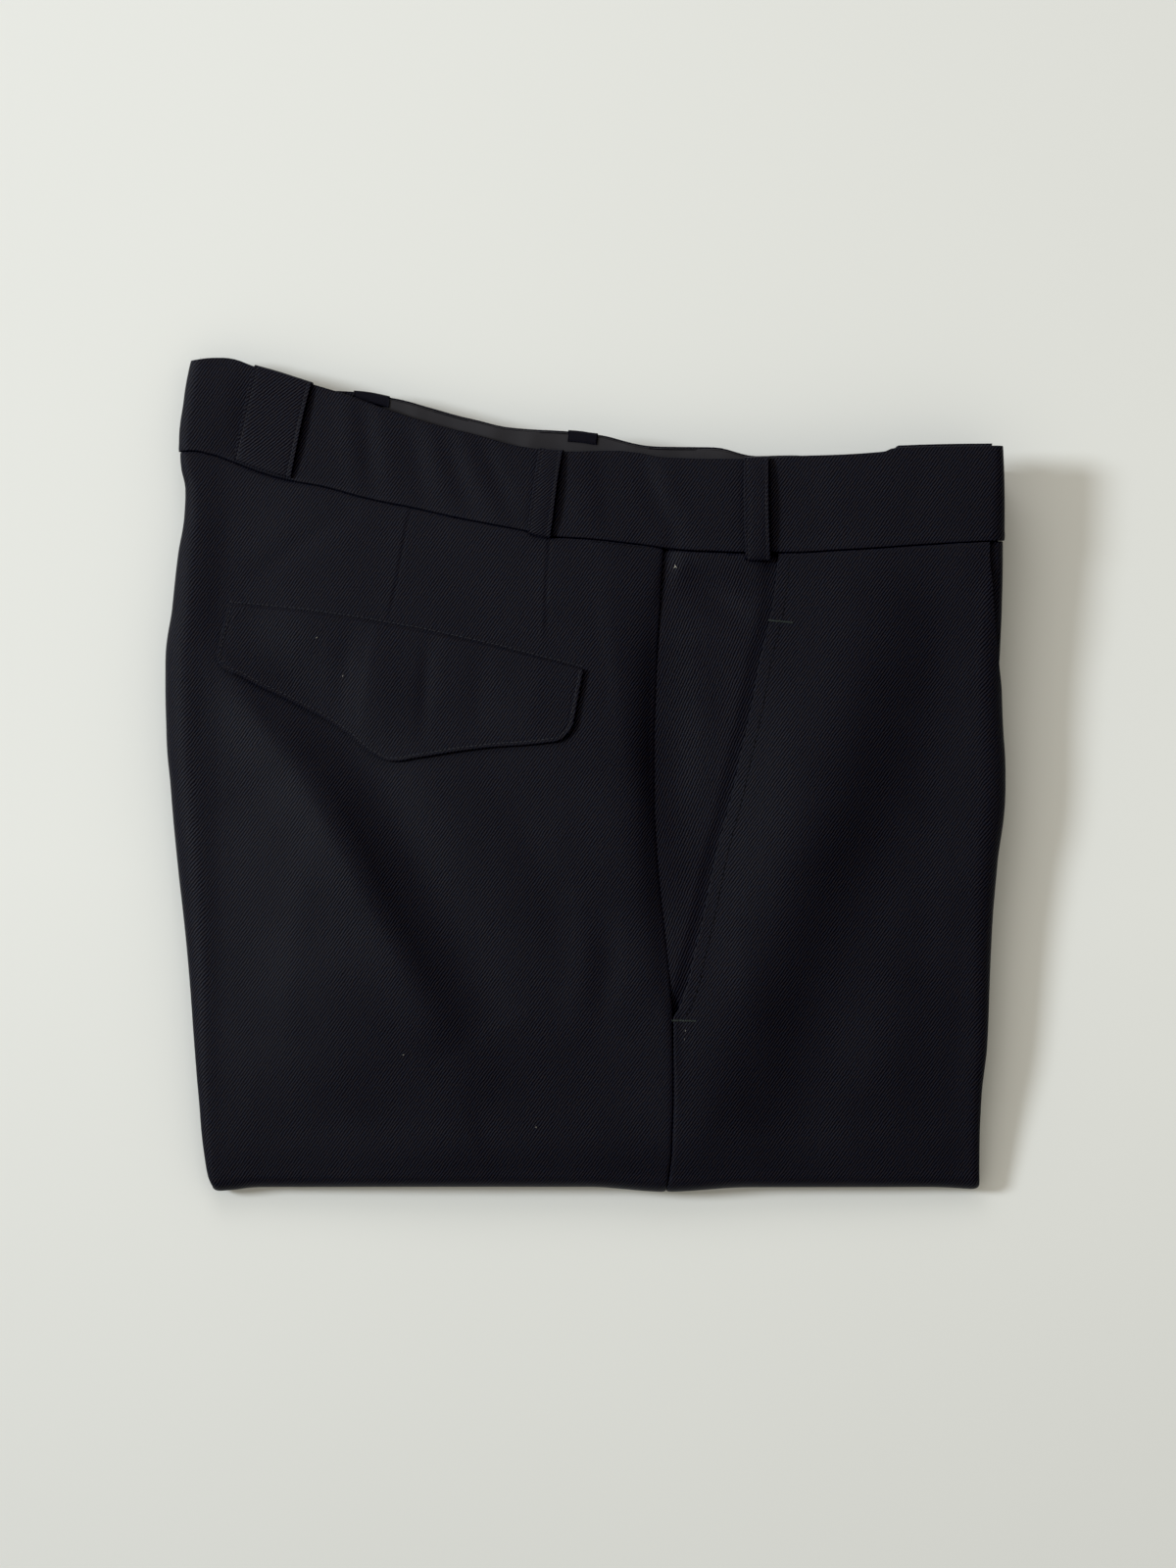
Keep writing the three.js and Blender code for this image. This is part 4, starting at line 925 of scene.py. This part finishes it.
near_columns, near_count = band_columns(
    np.linspace(0, 1, 150), np.linspace(PI, PI / 12, 12), np.radians(np.linspace(10, 80, 8))
)


def near_ripples(q, p):
    """The near band's ripples, which fade towards both its ends."""
    return relief(BAND_RELIEF, q, p) * smooth(q, -196, -176) * (1 - 0.6 * smooth(q, 180, 192))


def near_face(q, p):
    seam, top = p - waist_seam(q), near_top(q) - p
    turned = -0.22 * np.exp(-np.maximum(top, 0) / 1.2) - 0.3 * np.exp(-np.maximum(seam, 0) / 1.0)
    groove = 0.15 * np.exp(-((seam - 2.2) / 1.6) ** 2)
    return BAND_PROUD + near_ripples(q, p) + turned + groove


def near_back(q, p):
    return NEAR_INSIDE + np.minimum(near_ripples(q, p), 0.2) * 0.8


def constant(value):
    return lambda q, p: value + 0 * q


waistband_near = cloth(
    "waistband_right_cloth", twill_band,
    *band(near_columns, near_count, lambda x: waist_seam(x) + SEAM_GAP / 2, near_top, 30,
          near_face, near_back, True),
    "waistband_right",
)


def far_columns(first, last, count):
    shares = np.linspace(first, last, count)

    def columns_at(p):
        start = seat_edge(p) + seat_reach(p) + SEAM_GAP
        return np.stack([mix(start, fly_edge(p) - 0.6, s) for s in shares])
    return columns_at, count


def far_foot(x):
    return np.maximum(far_top(x) - BAND_DEPTH, waist_seam(x) + 1.5)


waistband_far = cloth(
    "waistband_left_cloth", twill_band,
    *band(*far_columns(0, 1, 120), far_foot, far_top, 16, constant(FAR_INSIDE),
          constant(FAR_OUTSIDE), False),
    "waistband_left",
)

LINING_RELIEF = [
    ("ridge", 0.6, 4, [(-76, 174), (-80, 150)]), ("ridge", -0.5, 5, [(-60, 168), (-64, 145)]),
    ("ridge", 0.8, (4, 7), [(-40, 166), (-45, 140)]), ("ridge", 0.6, 4, [(-22, 164), (-28, 140)]),
    ("ridge", -0.4, 4, [(-12, 160), (-14, 140)]), ("ridge", 0.5, 5, [(22, 156), (18, 138)]),
    ("ridge", -0.4, 5, [(44, 153), (40, 136)]), ("ridge", 0.4, 6, [(66, 152), (62, 130)]),
]
lining_band = band(
    *far_columns(7 / 30, 29 / 30, 110), lambda x: far_top(x) - BAND_DEPTH + 4,
    lambda x: far_top(x) - 0.9, 24,
    lambda q, p: LINING_FACE + relief(LINING_RELIEF, q, p),
    lambda q, p: LINING_FACE - LINING + np.minimum(relief(LINING_RELIEF, q, p), 0.2), False,
)
waistband_lining = cloth(
    "waistband_lining_left_cloth", lining_satin, *lining_band, "waistband_lining_left", "lining"
)

TAB_START, TAB_END = 140.4, 186.5
TAB_UNDER, TAB_THICK, TAB_ABOVE, TAB_DEPTH, TAB_CORNER = 0.6, 1.2, 1.1, 38, 2.4


def inner_tab():
    outside = NEAR_INSIDE - TAB_UNDER
    x = np.concatenate([np.linspace(TAB_START, TAB_START + 4, 6), np.linspace(146, TAB_END, 24)])
    cut = TAB_CORNER * smooth(x, TAB_START + 3.2, TAB_START)
    top = near_top(x) + TAB_ABOVE - cut
    p = top[:, None] - TAB_DEPTH * np.linspace(0, 1, 16)[None]
    q = x[:, None] + 0 * p
    return cloth("waistband_tab_right_cloth", twill_band,
                 *skins(q, p, outside, outside - TAB_THICK, False), "waistband_tab_right")


tab = inner_tab()


def seam_allowance():
    """The panels' top edge, pressed up inside the near waistband, behind the waist seam."""
    columns_at, count = band_columns(
        np.linspace(0, 1, 90), np.linspace(PI * 0.8, PI / 12, 9), np.radians([15, 30, 45, 60])
    )
    return cloth(
        "waist_seam_allowance", twill_band,
        *band(columns_at, count, lambda x: waist_seam(x) - 0.3, lambda x: waist_seam(x) + 9.9, 6,
              constant(NEAR_INSIDE - 0.15), constant(NEAR_INSIDE - 0.75), True),
    )


allowance = seam_allowance()

# ---- Belt loops ----

Loop = namedtuple("Loop", "name near top_x foot_x width past turned above bulge")
LOOPS = [Loop(*row) for row in (
    ("belt_loop_back_right", True, -138, -147.8, 26.5, -1.2, 5, 0, 1.3),
    ("belt_loop_side_right", True, -14.9, -20.7, 10.8, 0.6, 5, 0, 1.7),
    ("belt_loop_front_right", True, 78.6, 79.4, 11.6, 3.6, 5, 0, 2.2),
    ("belt_loop_back_left", False, -98, -104, 16.6, -1, 5, 0, 0.2),
    ("belt_loop_side_left", False, -0.8, -5, 13.5, -1, 5, 0, 0.2),
    ("belt_loop_front_left", False, 169.4, 169.4, 11.2, -1, 0, 3.2, 0.2),
)]
LOOP_CLEAR, LOOP_OVER, STITCH_IN, LOOP_LENGTH = 0.25, 0.6, 1.7, 46


def loop_surface(loop, u, t, edge):
    """A point of a belt loop: u across it in mm from its middle, t from 0 at its foot through 1
    at the band's top to 2 at its turned-in end, edge 1 on its outside and 0 inside."""
    if loop.near:
        top, foot, outside, inside = near_top, waist_seam, BAND_PROUD, NEAR_INSIDE
        out, end_thick, over, end_gap = 1.0, STRAP, LOOP_OVER, REST_GAP
    else:
        top, foot, outside, inside = far_top, far_foot, FAR_OUTSIDE, LINING_FACE
        out, end_thick, over, end_gap = -1.0, 0.6, 0.25, 0.15
    face, behind = outside + out * REST_GAP, inside - out * end_gap
    low, past_top = np.clip(t, 0, 1), np.clip((t - 1) / 0.5, 0, 1)
    x = mix(loop.foot_x, loop.top_x, low) + u
    arch = out * loop.bulge * np.sin(PI * low) ** 0.6
    p = mix(foot(x) - loop.past, top(x), low)
    if not loop.turned:
        p = p + past_top * loop.above
        return laid(x, p, face + arch + edge * out * STRAP, False)
    turn = past_top * PI
    groove = 0.35 * np.exp(-((np.abs(u) - loop.width / 2 + STITCH_IN) / 0.5) ** 2)
    crown = 0.18 * (1 - (2 * u / loop.width) ** 2) - groove * 0.8
    lift = face + arch + edge * out * (STRAP + crown)
    middle, radius = (face + behind) / 2, (face - behind) / 2
    thick = mix(STRAP, end_thick, smooth(turn, 0, PI / 2))
    lift = np.where(turn > 0, middle + (radius + edge * out * thick) * np.cos(turn), lift)
    p = p + np.sin(turn) * (LOOP_CLEAR + edge * over) - np.clip((t - 1.5) / 0.5, 0, 1) * loop.turned
    return laid(x, p, lift, False)


def belt_loop(loop):
    runs = [np.linspace(0, 1, 34), np.linspace(1, 1.5, 12)[1:]]
    if loop.turned:
        runs.append(np.linspace(1.5, 2.0, 5)[1:])
    t = np.concatenate(runs)
    count = 31 if loop.width > 20 else 15
    u = loop.width * 0.5 * np.sin(np.linspace(-PI / 2, PI / 2, count))
    u, t = u[:, None] + 0 * t[None], t[None] + 0 * u[:, None]
    wave = 0.25 * np.sin(t * 5 + len(loop.name)) * (np.abs(u) / loop.width * 2) ** 3
    outer = loop_surface(loop, u + wave, t, 1.0)
    inner = loop_surface(loop, u + wave, t, 0.0)
    uv = np.stack([u, t * LOOP_LENGTH], -1)
    return cloth(loop.name + "_cloth", twill_band, outer, inner, uv, loop.name)


loops = {loop.name: belt_loop(loop) for loop in LOOPS}

# ---- The layers below: the left leg, pressed flat and folded inside the right one ----

LEG_COLUMNS, LEG_LIP, LEG_WALL, LEG_GAP = 44, 7, 0.45, 0.35


def leg_path(x):
    """Centre line of the left leg at each x: y and z from the waist, round both folds, to the
    hem, and which third each point is in, with a half at a fold."""
    a_start, b_start = fold_line(x) + 10, leg_fold(x) - 11
    top_start, hem_end = waist_seam(x) - 4, fold_line(x) + 17
    s_a, s_b = stack_top(x, a_start), stack_top(x, b_start)
    turn_a = np.linspace(0, PI, 18)[1:-1, None]
    turn_b = np.linspace(0, PI, 12)[1:-1, None]

    def third_of_leg(y_from, y_to, share):
        line = mix(y_from, y_to, np.linspace(0, 1, 46)[:, None])
        return line, share * stack_top(x[None] + 0 * line, line)

    runs = [
        third_of_leg(top_start, a_start, 0.9),
        (a_start - 6.3 * np.sin(turn_a), s_a * (0.6 + 0.3 * np.cos(turn_a))),
        third_of_leg(a_start, b_start, 0.3),
        (b_start + 3.5 * np.sin(turn_b), s_b * (0.4 - 0.1 * np.cos(turn_b))),
        third_of_leg(b_start, hem_end, 0.5),
    ]
    y, z = (np.concatenate(part) for part in zip(*runs))
    return y, z, np.concatenate([np.full(len(run[0]), k / 2) for k, run in enumerate(runs)])


def left_leg():
    phi = np.linspace(PI / 2, -PI / 2, LEG_LIP)[1:-1]
    share = np.linspace(0, 1, LEG_COLUMNS)
    share = 0.5 - 0.5 * np.cos(PI * share) * (0.6 + 0.4 * np.abs(np.cos(PI * share)))
    share = (share - share[0]) / (share[-1] - share[0])
    ring = [(u, 0, 1) for u in share] + [(1, math.cos(a), math.sin(a)) for a in phi]
    ring += [(u, 0, -1) for u in share[::-1]] + [(0, -math.cos(a), -math.sin(a)) for a in phi]
    u, c_x, c_n = (np.array(c, float)[:, None] for c in zip(*ring))
    x = mix(-180.0, 184.0, u[:, 0])
    for _ in range(3):
        y, z, third = leg_path(x)
        y, z = y.T, z.T
        mid_y = np.clip(y, EDGE_FOOT, 149)
        inset = 1.6 + 0.9 * third + 0.8 * np.sin(mid_y / 41 + third * 2)
        seat, fly = seat_edge(mid_y) + inset, fly_edge(mid_y) - inset
        x_all = mix(seat + 1.6, fly - 1.6, u)
        x = x_all.mean(1)
    high = stack_top(x_all, np.minimum(y, leg_fold(x_all) - 8))
    radius = np.maximum(0.1 * high - LEG_GAP / 2, 0.5)
    d_y, d_z = np.gradient(y, axis=1), np.gradient(z, axis=1)
    size = np.hypot(d_y, d_z)
    n_y, n_z = -d_z / size, d_y / size
    flip = np.where(n_z[:, :1] < 0, -1.0, 1.0)
    n_y, n_z = n_y * flip, n_z * flip
    faces_of_wall = [
        np.stack([x_all + c_x * r, y + c_n * n_y * r, z + c_n * n_z * r], -1)
        for r in (radius, np.maximum(radius - LEG_WALL, 0.12))
    ]
    around, along = x_all.shape
    grid = np.arange(around * along).reshape(around, along)
    nxt = np.roll(grid, -1, 0)
    quads = np.stack([grid[:, :-1], nxt[:, :-1], nxt[:, 1:], grid[:, 1:]], -1).reshape(-1, 4)
    second = around * along
    faces = [quads, quads[:, ::-1] + second]
    for k in (0, along - 1):
        end = np.stack([grid[:, k], grid[:, k] + second, nxt[:, k] + second, nxt[:, k]], -1)
        faces.append(end if k == 0 else end[:, ::-1])
    faces = np.concatenate(faces)
    points = np.concatenate([s.reshape(-1, 3) for s in faces_of_wall])
    run = np.concatenate([[0], np.cumsum(np.hypot(np.diff(y.mean(0)), np.diff(z.mean(0))))])
    uv = np.stack([x_all * np.where(c_n < 0, -1, 1), run[None] + 0 * x_all], -1).reshape(-1, 2)
    faces, uv = outward(points, faces), np.concatenate([uv, uv])
    piece = make("left_leg_folded", points, faces, uv, twill_panel)
    return placed(piece, "folded_layers")


leg = left_leg()

# ---- Sewing ----


def resample(line, pitch):
    """Points along a line of (x, y) at even steps, and the direction at each."""
    line = np.asarray(line, float)
    run = np.concatenate([[0], np.cumsum(np.hypot(*np.diff(line, axis=0).T))])
    at = np.arange(pitch / 2, run[-1], pitch)
    place = np.stack([np.interp(at, run, line[:, k]) for k in (0, 1)], -1)
    ahead = np.stack([np.interp(at + 0.2, run, line[:, k]) for k in (0, 1)], -1)
    behind = np.stack([np.interp(at - 0.2, run, line[:, k]) for k in (0, 1)], -1)
    return place, unit(ahead - behind)


def stitch_ends(place, way, length, lift):
    """The two ends of each stitch and the way it faces, on the laid cloth."""
    ends = []
    for side in (-0.5, 0.5):
        at = place + way * length * side
        ends.append(laid(at[:, 0], at[:, 1], lift(at[:, 0], at[:, 1])))
    above = laid(place[:, 0], place[:, 1], lift(place[:, 0], place[:, 1]) + 1)
    return ends[0], ends[1], unit(above - (ends[0] + ends[1]) / 2)


THREAD_HIGH = 0.3


def thread(name, material, runs, wide=0.42):
    """Short stitches, each a flattened bead of thread between its two ends."""
    starts, ends, normals = (np.concatenate(part) for part in zip(*runs))
    jitter = rng.uniform(0.85, 1.15, len(starts))[:, None]
    steps, sides = np.array([0, 0.12, 0.5, 0.88, 1.0]), 6
    swell = np.array([0.25, 0.8, 1.0, 0.8, 0.25])
    along = unit(ends - starts)
    across_ = unit(np.cross(normals, along))
    points = []
    for step, size in zip(steps, swell):
        middle = mix(starts, ends, step)
        for k in range(sides):
            a = 2 * PI * k / sides
            side = across_ * (math.cos(a) * wide / 2) * size * jitter
            points.append(middle + side + normals * (math.sin(a) * THREAD_HIGH / 2 + 0.05) * size)
    points = np.stack(points, 1)
    ring = lambda r: [r * sides + k for k in range(sides)]
    faces = []
    for r in range(len(steps) - 1):
        low, up = ring(r), ring(r + 1)
        faces += [(low[k], low[(k + 1) % sides], up[(k + 1) % sides], up[k]) for k in range(sides)]
    caps = []
    for r, turn in ((0, -1), (len(steps) - 1, 1)):
        c = ring(r)[::turn]
        caps += [(c[0], c[1], c[2], c[3]), (c[0], c[3], c[4], c[5])]
    faces = np.array(faces + caps)
    count = len(starts)
    all_faces = (faces[None] + (np.arange(count) * points.shape[1])[:, None, None]).reshape(-1, 4)
    placed(make(name, points.reshape(-1, 3), all_faces.tolist(), None, material), None)


def inset_line(line, by):
    """A line moved sideways by a distance, to its left."""
    line = np.asarray(line, float)
    way = unit(np.gradient(line, axis=0))
    return line + np.stack([-way[:, 1], way[:, 0]], -1) * by


def on_flap(x, y):
    return flap_lift(x, y) + back_lift(x, y) * FLAP_FOLLOWS + 0.05


def lifted(lift, by):
    return lambda x, y: lift(x, y) + by


def seam(name, material, line, pitch, length, lift):
    thread(name, material, [stitch_ends(*resample(line, pitch), length, lift)])


mouth_y, ditch_x = np.linspace(100, -111, 200), np.linspace(3, 26, 20)
seam("thread_flap_edge", thread_bright, inset_line(flap_edge, 1.7), 2.05, 1.15, on_flap)
seam("thread_pocket_welt", thread_bright, inset_line(flap_outline(top=True), 1.3), 2.1, 1.2,
     lifted(back_lift, 0.08))
# The mouth's and the waist ditch's rows use the dark thread, which has painted stitch-hole shade in its
# colour.
seam("thread_pocket_mouth", thread_dark_hole_shade, np.stack([pocket_mouth(mouth_y) + 5.3, mouth_y], -1), 2.3, 1.5,
     lifted(front_lift, 0.08))
seam("thread_waist_ditch", thread_dark_hole_shade, np.stack([ditch_x, waist_seam(ditch_x) - 0.9], -1), 2.4, 1.3,
     lifted(back_lift, 0.12))


def loop_stitches(loop):
    runs = []
    for side in (-1, 1):
        t = np.arange(0.03, 1.0, 2.0 / LOOP_LENGTH)
        u = side * (loop.width / 2 - STITCH_IN) + 0 * t
        ends = [loop_surface(loop, u, t + d, 1.0) for d in (-0.013, 0.013)]
        above = loop_surface(loop, u, t, 1.8)
        runs.append((*ends, unit(above - (ends[0] + ends[1]) / 2)))
    return runs


loop_runs = [run for loop in LOOPS if loop.near for run in loop_stitches(loop)]
thread("thread_belt_loops", thread_bright, loop_runs, 0.4)

TACK_STITCHES, TACK_TALL, TACK_LEAN = 21, 1.0, 0.35


def bar_tack(a, b):
    """A bar tack from a to b on the front: a dense row of short stitches across the bar."""
    a, b = np.array(a, float), np.array(b, float)
    place = mix(a, b, np.linspace(0, 1, TACK_STITCHES)[:, None])
    place = place + rng.normal(0, 0.08, (TACK_STITCHES, 2))
    way = unit(b - a)
    side = np.where(np.arange(TACK_STITCHES) % 2, 1, -1)[:, None]
    leaning = unit(np.array([-way[1], way[0]]) + TACK_LEAN * way * side)
    return stitch_ends(place, leaning, TACK_TALL, lifted(front_lift, 0.12))


tacks = [bar_tack((84.4, 70.8), (95.2, 69.7)), bar_tack((40.5, -112.3), (51.2, -112.5))]
thread("thread_bar_tacks", thread_tack, tacks, 0.5)

# ---- Lint and loose thread ends ----


def fibres(name, rows, material):
    """Fine curved fibres: (x, y, lift, length, angle in degrees, bend, width)."""
    points, faces = [], []
    sides, steps = 5, 9
    for x, y, lift, length, angle, bend, wide in rows:
        t = np.linspace(-0.5, 0.5, steps)
        turn = math.radians(angle) + bend * t
        line = np.cumsum(np.stack([np.cos(turn), np.sin(turn)], -1) * length / steps, 0)
        line = line - line.mean(0) + (x, y)
        raise_ = lift + 0.25 * np.cos(t * PI)
        middle = laid(line[:, 0], line[:, 1], raise_, False)
        along = unit(np.gradient(middle, axis=0))
        side = unit(np.cross(along, [0, 0, 1.0]))
        up = np.cross(side, along)
        first = sum(len(p) for p in points)
        taper = (0.35 + 0.65 * np.cos(t * PI))[:, None] * wide / 2
        for k in range(sides):
            a = 2 * PI * k / sides
            points.append(middle + (side * math.cos(a) + up * math.sin(a)) * taper)
        for k in range(sides):
            a, b = first + k * steps, first + (k + 1) % sides * steps
            faces += [(a + i, b + i, b + i + 1, a + i + 1) for i in range(steps - 1)]
        for end in (0, steps - 1):
            c = [first + k * steps + end for k in range(sides)]
            faces += [c[:4], (c[0], c[3], c[4])]
    placed(make(name, np.concatenate(points), faces, None, material), None)


fibres("lint", [
    (41.4, 95.4, -1.0, 2.2, 60, 2.5, 0.35), (42.0, 95.0, -0.9, 1.6, -20, -2, 0.3),
    (-122, 63, 3.0, 1.0, 30, 1, 0.25), (-110, 45.5, 3.0, 0.9, 80, 1, 0.25),
    (-82.8, -128, 0.4, 1.0, 10, 2, 0.22), (-22, -161.5, 0.4, 1.0, 120, -2, 0.22),
    (46.4, -117.0, 0.2, 1.1, 80, 1, 0.13), (45.9, -121.0, 0.2, 1.0, 95, -1, 0.13),
    (-176.6, 191.6, -1.2, 2.4, 75, 2, 0.13), (-146.3, 186.2, -1.0, 4.6, 20, 3, 0.13),
    (-143.2, 185.2, -1.0, 3.2, 65, -3, 0.13), (-94.6, 174.4, -4.6, 3.0, 35, 2, 0.13),
], fibre_pale)

# ---- Floor, light, camera ----

TABLE_COLOUR = (0.79, 0.797, 0.79)
floor_mesh = bpy.data.meshes.new("table_top")
floor_mesh.from_pydata([(-6, -6, 0), (6, -6, 0), (6, 6, 0), (-6, 6, 0)], [], [(0, 1, 2, 3)])
floor_mat, floor_tree, floor_bsdf = shader("table_top", 0.75, 0.0, 0.2, (1, 1, 1))
place = floor_tree.nodes.new("ShaderNodeTexCoord")
# The table top's colour is painted darker towards the bottom of the picture and a little towards the
# top. This is painted shade of the lamps' falloff over the table, with a random cloud of tone in it.
cloud = noise(floor_tree, place.outputs["Object"], 3.0, 3)
level = math_node(floor_tree, "ADD", split_xyz(floor_tree, place.outputs["Object"])["Y"], 0.45)
level = math_node(floor_tree, "MULTIPLY_ADD", cloud, 0.1, level)
painted_falloff = [(0.12, tinted(TABLE_COLOUR, 0.90)), (0.45, TABLE_COLOUR), (0.9, tinted(TABLE_COLOUR, 0.94))]
link(floor_tree, ramp(floor_tree, level, painted_falloff), floor_bsdf.inputs["Base Color"])
floor_mesh.materials.append(floor_mat)
floor = add("table_top", floor_mesh)
floor.location.z = -0.0002


def area_light(name, place, size, power, colour):
    """A round lamp that faces the middle of the part's base."""
    data = bpy.data.lights.new(name, "AREA")
    data.shape, data.size, data.energy, data.color = "DISK", size, power, colour
    lamp = add(name, data)
    lamp.location = place
    lamp.rotation_euler = (-Vector(place)).to_track_quat("-Z", "Y").to_euler()


# A cool key from the left, a third of the way up, and a warm room that is brighter at the left
# and towards the waist.
KEY_AWAY, KEY_UP, KEY_TURNED = 6.0, math.radians(35.5), math.radians(11.0)
key_place = Vector((
    -math.cos(KEY_UP) * math.cos(KEY_TURNED), math.cos(KEY_UP) * math.sin(KEY_TURNED), math.sin(KEY_UP)
)) * KEY_AWAY
area_light("key", key_place, 1.35, 258, (0.885, 0.955, 1.0))
area_light("top_fill", (-0.3, 1.3, 1.1), 0.9, 5, (1.0, 0.985, 0.95))

world = bpy.data.worlds.new("studio")
world.use_nodes = True
sky = world.node_tree
way = sky.nodes.new("ShaderNodeTexCoord")
toward = split_xyz(sky, way.outputs["Generated"])
level = math_node(sky, "MULTIPLY_ADD", toward["Z"], 0.75, 0.10)
level = math_node(sky, "MULTIPLY_ADD", toward["X"], -0.10, level)
level = math_node(sky, "MULTIPLY_ADD", toward["Y"], 0.10, level)
tone = ramp(sky, level, [(0.0, (0.30, 0.285, 0.235)), (1.0, (1.60, 1.52, 1.30))])
link(sky, tone, sky.nodes["Background"].inputs["Color"])
sky.nodes["Background"].inputs["Strength"].default_value = 0.46
bpy.context.scene.world = world

view = bpy.context.scene.view_settings
view.view_transform = "Standard"
view.use_curve_mapping = True
view.curve_mapping.black_level = (0.0035, 0.0035, 0.0035)   # the camera's black point

# The picture's longer side is PICTURE_HIGH pixels, each PIXEL metres wide at the cloth.
PIXEL, PICTURE_HIGH, SENSOR = 0.00045, 1600, 36
CLOTH_Z, CAMERA_AWAY = 0.02, 2.6
camera_data = bpy.data.cameras.new("camera")
camera_data.sensor_width = SENSOR
camera_data.lens = SENSOR * CAMERA_AWAY / (PICTURE_HIGH * PIXEL)
camera = add("camera", camera_data)
camera.location = (4 * PIXEL, -9 * PIXEL, CLOTH_Z + CAMERA_AWAY)
bpy.context.scene.camera = camera
